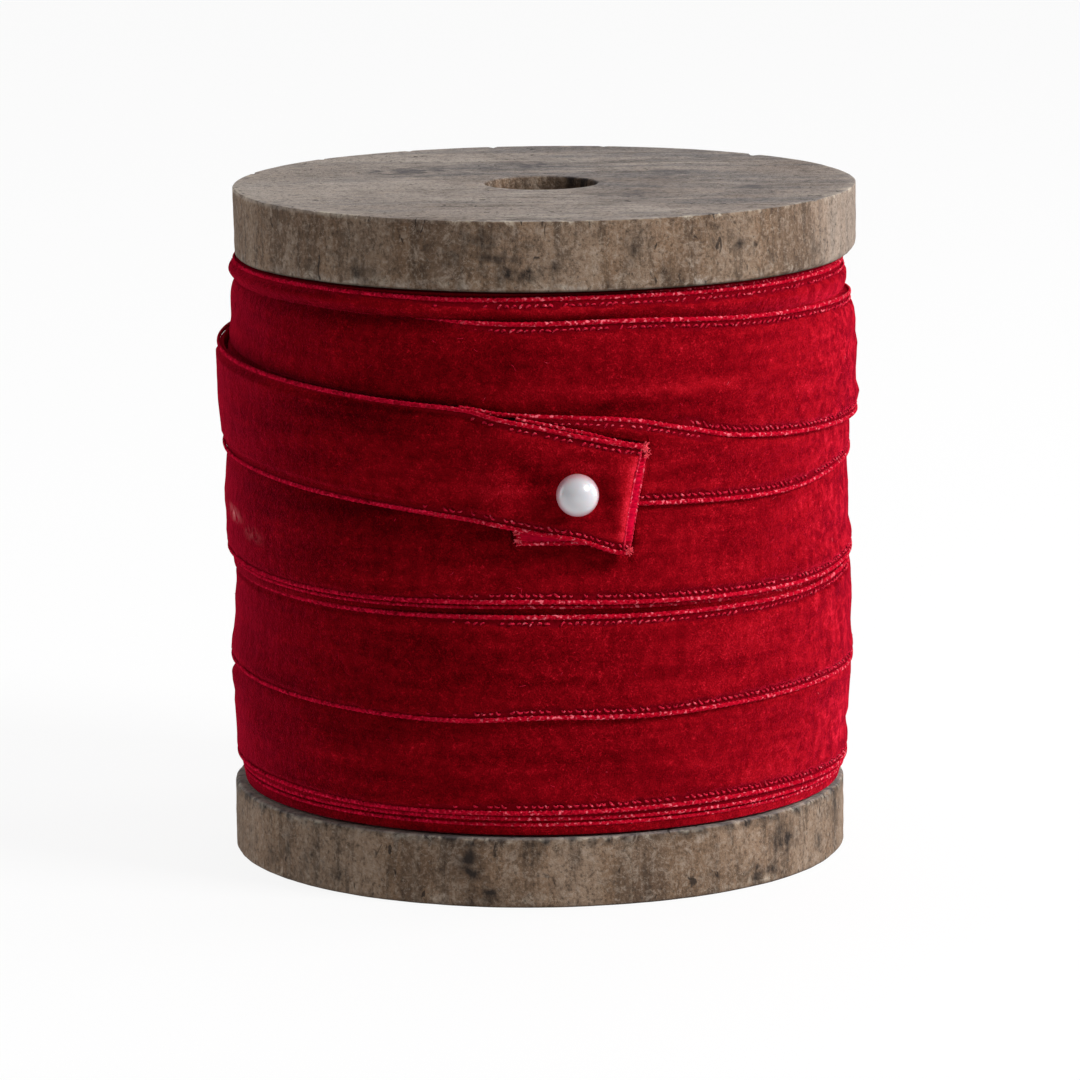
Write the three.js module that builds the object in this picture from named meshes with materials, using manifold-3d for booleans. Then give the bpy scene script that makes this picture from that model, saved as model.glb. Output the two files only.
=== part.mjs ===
// A roll of velvet ribbon on a wooden spool, its free end folded under and
// held by a pearl-headed pin. Millimetres, +Z up, the front of the roll faces -Y.
// The origin is the middle of the object's footprint, on the surface it stands on.
// Azimuths are in degrees about the roll's axis: 0 is the front, 90 is the +X side.

import * as THREE from 'three';
import { mergeVertices } from 'three/addons/utils/BufferGeometryUtils.js';
import Module from 'manifold-3d';

const wasm = await Module();
wasm.setup();

// Driving sizes
const HEIGHT = 82.1;
const SPOOL_SHIFT = { x: -0.17, y: 2.82 };
const FLANGE = { thick: 8.4, lowRadius: 37.7, topRadius: 38.0, topShiftX: 1.19 };
const FLANGE_EDGE = { crisp: 0.25, soft: 1.6, crispSteps: 1, softSteps: 4 };
const BORE = { x: 0.77, y: -0.6, radius: 6.8 };
const BARREL_RADIUS = 12.5;
const SEAT_GAP = 0.3;
const ROLL_CENTRE_X = 0.45;
const RIBBON_THICK = 1.0;
const LAYER_GAP = 0.25;
const EDGE_CLEARANCE = 0.35;
const PIN = {
  azimuth: 5.7, height: 50.5, headRadius: 2.5, shankRadius: 0.35, length: 14, taper: 2,
};

// How finely the curves are stepped
const DISC_STEPS = 72;
const BORE_STEPS = 40;
const PIN_STEPS = { round: 20, head: 12, hole: 12 };
const ROLL_STEP_DEG = 5;
const TAIL_STEP_DEG = 5;
const TAIL_STEPS = { slanted: 5, fold: 6, under: 4 };
const TAIL_PLACES = [0, 0.25, 0.5, 0.75, 1];
const ROW_PLACES = [0, 0.3, 0.7, 1];

// Points closer than this are one point
const SAME_POINT = 1e-4;
const MERGE_WITHIN = 1e-5;

// Heights that follow from the driving sizes
const ROLL_TOP = HEIGHT - FLANGE.thick - SEAT_GAP;
const ROLL_LOW = FLANGE.thick + SEAT_GAP;

// Edges of the loose end, the outermost ribbon: [azimuth, height]
const TAIL_TOP = [
  [-180, 66], [-120, 64.2], [-90, 63.3], [-66, 62.3], [-46, 61.4], [-25, 60.45],
  [-14, 59.95], [-7, 59], [0, 58], [7, 56.9], [13, 56], [19, 55.25],
];
const TAIL_LOW = [
  [-180, 53.4], [-120, 51.5], [-90, 50.7], [-66, 49.85], [-46, 48.85], [-28, 47.9],
  [-14, 46.9], [-7, 46.3], [0, 45.35], [7, 44.4], [13, 42.95], [19, 42.8],
];
// The slanted fold at the loose end: [azimuth, height]
const FOLD_LINE = [[15.3, 42.9], [16.2, 46.8], [17.5, 51.5], [18.7, 55.3]];
const FOLD_CLEARANCE_DEG = 0.6;
const TAIL_RADIUS = 39;
const TAIL_START = -149.4;
const TAIL_START_STEP = 0.6;
// The sections of the loose end stand upright up to here, then lean with the fold
const TAIL_SLANT_FROM = -6;
// The part that is folded under ends in a cut edge behind the front layer
const UNDER_CUT_AZIMUTH = -4.4;
const UNDER_LOW_HEIGHT = 44.05;
const UNDER_TOP_RISE = 0.35;
const UNDER_CUT_CLEARANCE = 1;
// How quickly the folded part leaves the front layer's edges: ends, in shares
const UNDER_EASE = 3;
// The front layer lifts off the roll over this stretch, before the cut edge
const LIFT_FROM = UNDER_CUT_AZIMUTH - 9;
const LIFT_TO = UNDER_CUT_AZIMUTH - 2;

// Where the third turn's top edge comes out from behind the loose end
const THIRD_TOP_FROM = -14.5;
// Where the third turn's low edge goes under the loose end, on the left
const THIRD_LOW_HIDDEN_FROM = -90;
// Right of the fold, the groove under the loose end closes at this share of the turn
const GROOVE_END_SHARE = 0.4;

// Edges of the wound turns, from the top flange down: [azimuth, height].
// A turn's right end meets the next one's left end behind the roll, at 180.
const TURN_EDGES = {
  upperTop: [
    [-180, ROLL_TOP], [-120, ROLL_TOP], [-76, 73.3], [-40, 73.05], [-15, 72.8],
    [10, 73], [47, 72.8], [90, 72.8], [135, 72.5], [180, 72],
  ],
  secondTop: [
    [-180, 72], [-135, 71.2], [-90, 70.8], [-49, 70.75], [-26, 70.3], [-4, 70.05],
    [17, 70.2], [41, 69.45], [67, 69.1], [90, 68.6], [135, 67.4], [180, 66],
  ],
  thirdTop: [
    [-20, 59.9], [THIRD_TOP_FROM, 60.2], [-7.5, 59.5], [2.8, 59.1], [9.7, 58.85],
    [16.7, 58.4], [24, 57.4], [28, 56.8], [32, 56.1], [36.5, 55.55], [41, 55.2],
    [51, 54.7], [66, 54.35], [90, 54.1], [135, 53.7], [180, 53.4],
  ],
  thirdLow: [
    [15, 48.4], [28, 48.1], [42, 47.75], [53, 47.8], [69, 48.6], [90, 49.6],
    [115, 51.5], [140, 53.65], [180, 53.4],
  ],
  thirdLowBehind: [[-180, 43.5], [-135, 46.8], [-90, 50.35]],
  fourthLow: [
    [-180, 30.5], [-135, 34.5], [-90, 37.6], [-77, 37.6], [-62, 37.1], [-38, 36.75],
    [-14, 36.9], [0, 37], [17, 36.6], [42, 36.2], [60, 36.2], [75, 36.7], [90, 37.2],
    [135, 40], [180, 43.5],
  ],
  fifthTop: [
    [-180, 30.5], [-135, 33.6], [-90, 35.4], [-62, 35.3], [-38, 35.05], [0, 35.25],
    [25, 35], [54, 35], [72, 35.6], [90, 36.3], [135, 39.6], [180, 43.5],
  ],
  fifthLow: [
    [-180, 17.6], [-135, 21.4], [-90, 24], [-60, 23.4], [-30, 22.75], [-15, 22.6],
    [0, 23.1], [20, 22.9], [38, 23.15], [60, 23.3], [80, 23.3], [90, 23.7],
    [135, 27], [180, 30.5],
  ],
  sixthLow: [
    [-180, 9.6], [-135, 11], [-90, 12], [-63, 11.95], [-30, 11.4], [0, 11.5],
    [40, 11.6], [76, 11.3], [90, 11.6], [135, 14.2], [180, 17.6],
  ],
  innerLow: [
    [-180, ROLL_LOW], [-135, 9.6], [-90, 10.9], [-45, 10.7], [0, 10.7], [90, 10.3],
    [135, 9.8], [180, 9.6],
  ],
};

// Radii of each turn at its top edge, middle and low edge, on the left, front and
// right of the roll, and behind it at each end of its way round
const TURN_RADII = [
  { turn: 'innerUpper', left: [37.4, 37.4, 37.4], front: [36.9, 36.9, 36.9],
    right: [36.9, 36.9, 36.9], endLeft: [37.2, 37.3, 37.4], endRight: [37.2, 37.3, 37.4] },
  { turn: 'upper', left: [37.6, 38.2, 37.7], front: [37.5, 37.8, 37.5],
    right: [37.2, 37.7, 37.6], endLeft: [37.2, 37.3, 37.4], endRight: [37.7, 38, 37.9] },
  { turn: 'second', left: [37.9, 37.7, 38.1], front: [38.1, 38.4, 38],
    right: [38.3, 38.75, 39.1], endLeft: [37.7, 38, 37.9], endRight: [39.1, 39.4, 39.2] },
  { turn: 'thirdUpper', left: [38, 38, 38], front: [38.6, 38.6, 38.3],
    right: [37.7, 37.9, 38], endLeft: [38, 38, 38], endRight: [38, 38, 38] },
  { turn: 'underTail', left: [38.3, 38.1, 37.8], front: [37.4, 37.35, 37.3],
    right: [37.4, 37.4, 37.4], endLeft: [39.1, 39.4, 39.2], endRight: [38, 38, 38] },
  { turn: 'thirdLower', left: [38, 38.2, 38.2], front: [38.3, 38.2, 38.3],
    right: [38, 38, 38.1], endLeft: [38, 38.3, 38.4], endRight: [38, 38, 38] },
  { turn: 'fourth', left: [38.6, 39, 38.8], front: [37.7, 38.2, 38.4],
    right: [37.6, 37.9, 38.3], endLeft: [37.9, 38.2, 38.4], endRight: [38, 38.3, 38.4] },
  { turn: 'innerGap', left: [38.1, 38.1, 38.1], front: [37.4, 37.4, 37.4],
    right: [37.6, 37.6, 37.6], endLeft: [37.8, 37.8, 37.8], endRight: [37.8, 37.8, 37.8] },
  { turn: 'fifth', left: [37.7, 37.9, 38.5], front: [38.2, 38.3, 38.5],
    right: [38.1, 38.3, 38.5], endLeft: [37.9, 38.2, 38.3], endRight: [37.9, 38.2, 38.4] },
  { turn: 'sixth', left: [38, 38.2, 38], front: [38, 38.2, 38.1],
    right: [38.2, 37.8, 37.7], endLeft: [37.9, 38, 38], endRight: [37.9, 38.2, 38.3] },
  { turn: 'innerLower', left: [37.4, 37.4, 37.4], front: [37.5, 37.5, 37.5],
    right: [37.3, 37.3, 37.3], endLeft: [37.2, 37.2, 37.2], endRight: [37.9, 38, 38] },
  { turn: 'innerLast', left: [37.1, 37.1, 37.1], front: [37, 37, 37],
    right: [36.8, 36.8, 36.8], endLeft: [37, 37, 37], endRight: [37.2, 37.2, 37.2] },
];
// The turns aren't wound quite evenly: each one's radius waves a little
const UNEVEN = { depth: 0.12, wavesRound: 3, phasePerMm: 7 };
// A turn less tall than this is hidden behind its neighbour
const HIDDEN_TURN = 0.05;

const WOOD = { color: 0x8c7a66, roughness: 0.85 };
const VELVET = { color: 0x8f0614, roughness: 0.95 };
const PEARL = { color: 0xf1eef0, roughness: 0.2 };

const { clamp, degToRad, radToDeg } = THREE.MathUtils;

// Curves through the tables

function tangentAt(knots, i) {
  const before = knots[Math.max(i - 1, 0)];
  const after = knots[Math.min(i + 1, knots.length - 1)];
  return (after[1] - before[1]) / (after[0] - before[0]);
}

function curveAt(knots, azimuth) {
  const last = knots.length - 1;
  if (azimuth <= knots[0][0]) return knots[0][1];
  if (azimuth >= knots[last][0]) return knots[last][1];
  let i = 0;
  while (knots[i + 1][0] < azimuth) i += 1;
  const span = knots[i + 1][0] - knots[i][0];
  const t = (azimuth - knots[i][0]) / span;
  const bend0 = tangentAt(knots, i) * span;
  const bend1 = tangentAt(knots, i + 1) * span;
  const t2 = t * t;
  const t3 = t2 * t;
  return (2 * t3 - 3 * t2 + 1) * knots[i][1] + (t3 - 2 * t2 + t) * bend0
    + (3 * t2 - 2 * t3) * knots[i + 1][1] + (t3 - t2) * bend1;
}

const easeBetween = (a, b, t) => a + (b - a) * t * t * (3 - 2 * t);

function placeOnRoll(azimuth, radius, height) {
  const angle = degToRad(azimuth);
  return [ROLL_CENTRE_X + radius * Math.sin(angle), -radius * Math.cos(angle), height];
}

// Solids and joins

function solidFrom(geometry) {
  geometry.deleteAttribute('normal');
  geometry.deleteAttribute('uv');
  const merged = mergeVertices(geometry, MERGE_WITHIN);
  const mesh = new wasm.Mesh({
    numProp: 3,
    vertProperties: new Float32Array(merged.attributes.position.array),
    triVerts: new Uint32Array(merged.index.array),
  });
  return new wasm.Manifold(mesh);
}

function geometryFrom(solid) {
  const { vertProperties, triVerts } = solid.getMesh();
  const geometry = new THREE.BufferGeometry();
  geometry.setAttribute('position', new THREE.BufferAttribute(vertProperties, 3));
  geometry.setIndex(new THREE.BufferAttribute(triVerts, 1));
  geometry.computeVertexNormals();
  return geometry;
}

function named(name, geometry, finish) {
  const material = new THREE.MeshStandardMaterial({ ...finish, metalness: 0 });
  const mesh = new THREE.Mesh(geometry, material);
  mesh.name = name;
  return mesh;
}

// The wooden spool: two discs and the barrel between them, bored through

function roundedCorner(radius, cornerX, cornerY, fromAngle, toAngle, steps) {
  const points = [];
  for (let i = 0; i <= steps; i += 1) {
    const angle = fromAngle + ((toAngle - fromAngle) * i) / steps;
    points.push(new THREE.Vector2(
      cornerX + radius * Math.cos(angle), cornerY + radius * Math.sin(angle)));
  }
  return points;
}

function flangeGeometry(radius, lowHeight, centreX) {
  const { crisp, soft, crispSteps, softSteps } = FLANGE_EDGE;
  const quarter = Math.PI / 2;
  const profile = [
    new THREE.Vector2(0, 0),
    ...roundedCorner(soft, radius - soft, soft, -quarter, 0, softSteps),
    ...roundedCorner(crisp, radius - crisp, FLANGE.thick - crisp, 0, quarter, crispSteps),
    new THREE.Vector2(0, FLANGE.thick),
  ];
  const disc = new THREE.LatheGeometry(profile, DISC_STEPS);
  disc.rotateX(Math.PI / 2);
  disc.translate(centreX, 0, lowHeight);
  const drill = new THREE.CylinderGeometry(
    BORE.radius, BORE.radius, FLANGE.thick * 3, BORE_STEPS);
  drill.rotateX(Math.PI / 2);
  drill.translate(BORE.x, BORE.y, lowHeight + FLANGE.thick / 2);
  return geometryFrom(solidFrom(disc).subtract(solidFrom(drill)));
}

function barrelGeometry() {
  const profile = [
    new THREE.Vector2(BORE.radius, ROLL_LOW),
    new THREE.Vector2(BARREL_RADIUS, ROLL_LOW),
    new THREE.Vector2(BARREL_RADIUS, ROLL_TOP),
    new THREE.Vector2(BORE.radius, ROLL_TOP),
    new THREE.Vector2(BORE.radius, ROLL_LOW),
  ];
  const tube = new THREE.LatheGeometry(profile, BORE_STEPS);
  tube.rotateX(Math.PI / 2);
  tube.translate(BORE.x, BORE.y, 0);
  return geometryFrom(solidFrom(tube));
}

// The wound ribbon: one solid whose outside steps from turn to turn

function foldHeightAt(azimuth) {
  const knots = FOLD_LINE.map(([foldAzimuth, height]) => (
    [foldAzimuth + FOLD_CLEARANCE_DEG, height]));
  return curveAt(knots, azimuth);
}

const isFoldedUnder = (azimuth) => azimuth > UNDER_CUT_AZIMUTH - UNDER_CUT_CLEARANCE;

function grooveTop(azimuth) {
  const rise = isFoldedUnder(azimuth) ? UNDER_TOP_RISE : 0;
  return curveAt(TAIL_TOP, azimuth) + EDGE_CLEARANCE + rise;
}

function grooveLow(azimuth) {
  const low = curveAt(TAIL_LOW, azimuth);
  return (isFoldedUnder(azimuth) ? Math.min(low, UNDER_LOW_HEIGHT) : low) - EDGE_CLEARANCE;
}

// Edges of the second turn, the groove under the loose end, and the third turn:
// behind the roll the loose end is still part of the winding
function edgesBehind(azimuth) {
  const join = curveAt(TAIL_TOP, azimuth);
  return {
    secondLow: join,
    grooveFrom: join,
    grooveTo: curveAt(TAIL_LOW, azimuth),
    thirdLow: curveAt(TURN_EDGES.thirdLowBehind, azimuth),
  };
}

function edgesUnderLooseEnd(azimuth) {
  const grooveFrom = grooveTop(azimuth);
  const grooveTo = grooveLow(azimuth);
  const thirdTop = curveAt(TURN_EDGES.thirdTop, azimuth);
  const behind = curveAt(TURN_EDGES.thirdLowBehind, azimuth);
  return {
    secondLow: azimuth > THIRD_TOP_FROM ? Math.max(thirdTop, grooveFrom) : grooveFrom,
    grooveFrom,
    grooveTo,
    thirdLow: azimuth < THIRD_LOW_HIDDEN_FROM ? Math.min(behind, grooveTo) : grooveTo,
  };
}

function edgesRightOfFold(azimuth) {
  const secondLow = curveAt(TURN_EDGES.thirdTop, azimuth);
  const ownLow = curveAt(TURN_EDGES.thirdLow, azimuth);
  const foldHeight = foldHeightAt(azimuth);
  const foldTop = FOLD_LINE[FOLD_LINE.length - 1][1];
  const inGroove = foldHeight < foldTop;
  const closed = secondLow + (ownLow - secondLow) * GROOVE_END_SHARE;
  const to = inGroove ? Math.max(foldHeight, grooveLow(azimuth)) : closed;
  const thirdLow = Math.min(ownLow, to, secondLow);
  return {
    secondLow,
    grooveFrom: Math.max(inGroove ? grooveTop(azimuth) : closed, thirdLow),
    grooveTo: Math.max(to, thirdLow),
    thirdLow,
  };
}

function looseEndEdges(azimuth) {
  if (azimuth < TAIL_START) return edgesBehind(azimuth);
  if (azimuth <= FOLD_LINE[0][0]) return edgesUnderLooseEnd(azimuth);
  return edgesRightOfFold(azimuth);
}

// Heights of the thirteen edge lines at one azimuth, top to bottom
function edgeHeights(azimuth) {
  const edge = (name) => curveAt(TURN_EDGES[name], azimuth);
  const { secondLow, grooveFrom, grooveTo, thirdLow } = looseEndEdges(azimuth);
  const heights = [
    ROLL_TOP, edge('upperTop'), edge('secondTop'), secondLow, grooveFrom, grooveTo,
    thirdLow, edge('fourthLow'), edge('fifthTop'), edge('fifthLow'), edge('sixthLow'),
    edge('innerLow'), ROLL_LOW,
  ];
  for (let k = 1; k < heights.length; k += 1) {
    heights[k] = Math.max(Math.min(heights[k], heights[k - 1]), ROLL_LOW);
  }
  return heights;
}

const underTailRow = TURN_RADII.find((row) => row.turn === 'underTail');

// Radius of one turn at a place between its top edge, 0, and its low edge, 1
function turnRadius(row, azimuth, place) {
  const pick = (radii) => (place < 0.5
    ? easeBetween(radii[0], radii[1], place * 2)
    : easeBetween(radii[1], radii[2], place * 2 - 1));
  const groove = row === underTailRow;
  const endLeft = groove && azimuth >= TAIL_START ? row.left : row.endLeft;
  const sides = [endLeft, row.left, row.front, row.right, row.endRight];
  const along = (azimuth + 180) / 90;
  const i = Math.min(Math.floor(along), sides.length - 2);
  const plain = easeBetween(pick(sides[i]), pick(sides[i + 1]), along - i);
  if (groove) return plain;
  const fade = Math.cos(degToRad(azimuth / 2)) ** 2;
  const phase = row.left[1] * UNEVEN.phasePerMm;
  return plain + UNEVEN.depth * fade * Math.sin(
    degToRad(azimuth * UNEVEN.wavesRound) + phase);
}

function rollColumn(azimuth) {
  const heights = edgeHeights(azimuth);
  const points = [];
  TURN_RADII.forEach((row, k) => {
    const tall = heights[k] - heights[k + 1];
    ROW_PLACES.forEach((place) => {
      const hidden = tall < HIDDEN_TURN && points.length > 0;
      points.push(hidden
        ? points[points.length - 1]
        : placeOnRoll(azimuth, turnRadius(row, azimuth, place), heights[k] - tall * place));
    });
  });
  const [lastX, lastY] = points.pop();
  const wall = BARREL_RADIUS + SEAT_GAP;
  const turned = degToRad(azimuth);
  const x = BORE.x + wall * Math.sin(turned);
  const y = BORE.y - wall * Math.cos(turned);
  return [...points, [lastX, lastY, ROLL_LOW], [x, y, ROLL_LOW], [x, y, ROLL_TOP]];
}

// Even steps round the roll, with closer ones where the groove starts and at the fold
function rollAzimuths() {
  const foldSteps = [0.9, 1.9, 2.8, 3.5, 4.1].map((step) => FOLD_LINE[0][0] + step);
  const close = [TAIL_START - TAIL_START_STEP, TAIL_START, ...foldSteps];
  const all = [...close];
  for (let azimuth = -180; azimuth <= 180; azimuth += ROLL_STEP_DEG) {
    const beside = close.some((other) => Math.abs(other - azimuth) <= TAIL_START_STEP);
    if (!beside) all.push(azimuth);
  }
  return all.sort((a, b) => a - b);
}

function pinDirection() {
  const angle = degToRad(PIN.azimuth);
  return new THREE.Vector3(Math.sin(angle), -Math.cos(angle), 0);
}

function placeAlongPin(geometry, radius) {
  const turn = new THREE.Quaternion().setFromUnitVectors(
    new THREE.Vector3(0, 1, 0), pinDirection());
  geometry.applyQuaternion(turn);
  geometry.translate(...placeOnRoll(PIN.azimuth, radius, PIN.height));
  return geometry;
}

function pinHoleGeometry() {
  const length = PIN.length * 2;
  const radius = PIN.shankRadius + SEAT_GAP;
  const hole = new THREE.CylinderGeometry(radius, radius, length, PIN_STEPS.hole);
  const tipRadius = pinHeadRadius() - PIN.length - SEAT_GAP;
  return placeAlongPin(hole, tipRadius + length / 2);
}

// The first and last columns lie on one line behind the roll, where each turn
// runs on into the next, so the grid is not closed by its row numbers.
function openSeamGrid(columns) {
  const positions = [];
  const rows = columns[0].length;
  const same = (p, q) => (
    Math.hypot(p[0] - q[0], p[1] - q[1], p[2] - q[2]) < SAME_POINT);
  const addFace = (a, b, c) => {
    if (!same(a, b) && !same(b, c) && !same(c, a)) positions.push(...a, ...b, ...c);
  };
  for (let c = 0; c + 1 < columns.length; c += 1) {
    for (let r = 0; r < rows; r += 1) {
      const below = (r + 1) % rows;
      addFace(columns[c][r], columns[c][below], columns[c + 1][below]);
      addFace(columns[c][r], columns[c + 1][below], columns[c + 1][r]);
    }
  }
  return geometryOf(positions);
}

function geometryOf(positions) {
  const geometry = new THREE.BufferGeometry();
  geometry.setAttribute('position', new THREE.Float32BufferAttribute(positions, 3));
  return geometry;
}

function rollGeometry() {
  const grid = openSeamGrid(rollAzimuths().map(rollColumn));
  return geometryFrom(solidFrom(grid).subtract(solidFrom(pinHoleGeometry())));
}

// The loose end: one sheet that runs round the left side to the front, turns
// under itself at the fold and ends behind the front layer

function layerRadius(azimuth, place, layer) {
  const floor = turnRadius(underTailRow, azimuth, place);
  const lift = SEAT_GAP + RIBBON_THICK / 2;
  return floor + lift + layer * (RIBBON_THICK + LAYER_GAP);
}

// The front layer lifts from the roll to pass over the part folded under it
function frontLayerLift(azimuth) {
  const t = clamp((azimuth - LIFT_FROM) / (LIFT_TO - LIFT_FROM), 0, 1);
  return easeBetween(0, 1, t);
}

const between = (a, b, t) => a + (b - a) * t;

function tailStations() {
  const stations = [];
  const mmPerDegree = degToRad(1) * TAIL_RADIUS;
  const foldReach = (RIBBON_THICK + LAYER_GAP) / 2 + RIBBON_THICK / 2;
  const endLow = FOLD_LINE[0][0] - foldReach / mmPerDegree;
  const endTop = FOLD_LINE[FOLD_LINE.length - 1][0] - foldReach / mmPerDegree;
  const leaning = (from, t) => ({
    top: between(from, endTop, t), low: between(from, endLow, t),
  });
  const start = TAIL_START + TAIL_START_STEP;
  for (let azimuth = start; azimuth < TAIL_SLANT_FROM; azimuth += TAIL_STEP_DEG) {
    stations.push({ top: azimuth, low: azimuth, turn: 0, layer: 'front' });
  }
  for (let i = 0; i <= TAIL_STEPS.slanted; i += 1) {
    const place = leaning(TAIL_SLANT_FROM, i / TAIL_STEPS.slanted);
    stations.push({ ...place, turn: 0, layer: 'front' });
  }
  for (let i = 1; i < TAIL_STEPS.fold; i += 1) {
    const turn = (Math.PI * i) / TAIL_STEPS.fold;
    stations.push({ top: endTop, low: endLow, turn, layer: 'fold' });
  }
  for (let i = TAIL_STEPS.under; i >= 0; i -= 1) {
    const place = leaning(UNDER_CUT_AZIMUTH, i / TAIL_STEPS.under);
    stations.push({ ...place, turn: Math.PI, layer: 'under' });
  }
  return stations;
}

// Heights of the loose end's two edges: the folded part leaves the front layer's
function tailEdges(azimuth, layer) {
  const top = curveAt(TAIL_TOP, azimuth);
  const low = curveAt(TAIL_LOW, azimuth);
  if (layer !== 'under') return [top, low];
  const foldToCut = FOLD_LINE[0][0] - UNDER_CUT_AZIMUTH;
  const away = clamp(1 - (azimuth - UNDER_CUT_AZIMUTH) / foldToCut, 0, 1);
  const share = Math.min(1, away * UNDER_EASE);
  const underLow = Math.min(low, UNDER_LOW_HEIGHT);
  return [top + UNDER_TOP_RISE * share, between(low, underLow, share)];
}

function tailPoint(station, place, side) {
  const azimuth = between(station.top, station.low, place);
  const [top, low] = tailEdges(azimuth, station.layer);
  const height = between(top, low, place);
  const lift = station.layer === 'under' ? 0 : frontLayerLift(azimuth);
  const middle = layerRadius(azimuth, place, lift);
  const half = (RIBBON_THICK + LAYER_GAP) / 2;
  const across = (side * RIBBON_THICK) / 2;
  if (station.layer === 'front') return placeOnRoll(azimuth, middle + across, height);
  if (station.layer === 'under') return placeOnRoll(azimuth, middle - across, height);
  const radial = middle - half + (half + across) * Math.cos(station.turn);
  const along = (half + across) * Math.sin(station.turn);
  return placeOnRoll(azimuth + radToDeg(along / radial), radial, height);
}

function tailGeometry() {
  const rings = tailStations().map((station) => [
    ...TAIL_PLACES.map((place) => tailPoint(station, place, 1)),
    ...[...TAIL_PLACES].reverse().map((place) => tailPoint(station, place, -1)),
  ]);
  const positions = [];
  const addFace = (a, b, c) => positions.push(...a, ...b, ...c);
  const count = rings[0].length;
  for (let s = 0; s + 1 < rings.length; s += 1) {
    for (let k = 0; k < count; k += 1) {
      const k2 = (k + 1) % count;
      addFace(rings[s][k], rings[s][k2], rings[s + 1][k2]);
      addFace(rings[s][k], rings[s + 1][k2], rings[s + 1][k]);
    }
  }
  const closeEnd = (ring, flip) => {
    for (let k = 0; k + 1 < TAIL_PLACES.length; k += 1) {
      const corners = [ring[k], ring[k + 1], ring[count - 2 - k], ring[count - 1 - k]];
      const [a, b, c, d] = flip ? [...corners].reverse() : corners;
      addFace(a, b, c);
      addFace(a, c, d);
    }
  };
  closeEnd(rings[0], true);
  closeEnd(rings[rings.length - 1], false);
  const sheet = solidFrom(geometryOf(positions));
  return geometryFrom(sheet.subtract(solidFrom(pinHoleGeometry())));
}

// The pin: a pearl head on a thin pointed shank

function pinHeadRadius() {
  const surface = layerRadius(PIN.azimuth, 0.5, 1) + RIBBON_THICK / 2;
  return surface + SEAT_GAP + PIN.headRadius;
}

function pinGeometry() {
  const { headRadius, shankRadius, length, taper } = PIN;
  const meet = Math.asin(shankRadius / headRadius);
  const profile = [
    new THREE.Vector2(0, -length),
    new THREE.Vector2(shankRadius, taper - length),
    new THREE.Vector2(shankRadius, -headRadius * Math.cos(meet)),
  ];
  for (let i = 1; i < PIN_STEPS.head; i += 1) {
    const angle = meet + ((Math.PI - meet) * i) / PIN_STEPS.head;
    profile.push(new THREE.Vector2(
      headRadius * Math.sin(angle), -headRadius * Math.cos(angle)));
  }
  profile.push(new THREE.Vector2(0, headRadius));
  const pin = new THREE.LatheGeometry(profile, PIN_STEPS.round);
  return geometryFrom(solidFrom(placeAlongPin(pin, pinHeadRadius())));
}

const ribbonOnSpool = new THREE.Group();
ribbonOnSpool.position.set(SPOOL_SHIFT.x, SPOOL_SHIFT.y, 0);
ribbonOnSpool.add(
  named('flange_bottom', flangeGeometry(FLANGE.lowRadius, 0, 0), WOOD),
  named('flange_top', flangeGeometry(
    FLANGE.topRadius, HEIGHT - FLANGE.thick, FLANGE.topShiftX), WOOD),
  named('barrel', barrelGeometry(), WOOD),
  named('ribbon_roll', rollGeometry(), VELVET),
  named('ribbon_tail', tailGeometry(), VELVET),
  named('pearl_pin', pinGeometry(), PEARL),
);

export default ribbonOnSpool;
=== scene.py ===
# Looks for the roll of velvet ribbon on its wooden spool.
# The tables repeat the construction's, in millimetres; at() turns a place on the roll
# into metres in the part's frame. Azimuths are degrees: 0 is the front, 90 is +X.
import math

import bpy
import numpy as np
from mathutils import Matrix, Vector

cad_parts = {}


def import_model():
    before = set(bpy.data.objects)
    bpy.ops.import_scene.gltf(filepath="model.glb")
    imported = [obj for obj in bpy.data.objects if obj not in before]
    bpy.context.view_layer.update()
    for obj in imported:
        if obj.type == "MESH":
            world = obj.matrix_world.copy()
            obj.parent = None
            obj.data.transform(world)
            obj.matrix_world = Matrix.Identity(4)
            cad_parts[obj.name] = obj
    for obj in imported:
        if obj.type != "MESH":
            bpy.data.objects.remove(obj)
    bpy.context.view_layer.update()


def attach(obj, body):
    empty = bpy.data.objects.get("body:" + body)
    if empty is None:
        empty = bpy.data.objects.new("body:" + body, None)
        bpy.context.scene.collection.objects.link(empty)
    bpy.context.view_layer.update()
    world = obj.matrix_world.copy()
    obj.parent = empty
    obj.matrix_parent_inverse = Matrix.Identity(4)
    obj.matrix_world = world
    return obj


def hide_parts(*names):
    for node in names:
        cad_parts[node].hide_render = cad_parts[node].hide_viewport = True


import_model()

MM = 0.001
RIPPLE_WAVES = 28

# Driving sizes, in millimetres
HEIGHT = 82.1
SPOOL_SHIFT = (-0.17, 2.82)
FLANGE_THICK = 8.4
FLANGE_LOW_RADIUS = 37.7
FLANGE_TOP_RADIUS = 38.0
FLANGE_TOP_SHIFT_X = 1.19
FLANGE_SOFT = 1.6
BORE_X = 0.77
BORE_Y = -0.6
BORE_RADIUS = 6.8
BARREL_RADIUS = 12.5
SEAT_GAP = 0.3
ROLL_CENTRE_X = 0.45
RIBBON_WIDE = 12.7
RIBBON_THICK = 1.0
LAYER_GAP = 0.25
EDGE_CLEARANCE = 0.05
PIN_AZIMUTH = 5.7
PIN_HEIGHT = 50.5
PEARL_RADIUS = 2.5
PIN_SHANK_RADIUS = 0.35
PIN_LENGTH = 14
PIN_TAPER = 2
PEARL_ROWS = 40
PEARL_SIDES = 72

ROLL_TOP = HEIGHT - FLANGE_THICK - SEAT_GAP
ROLL_LOW = FLANGE_THICK + SEAT_GAP

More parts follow.
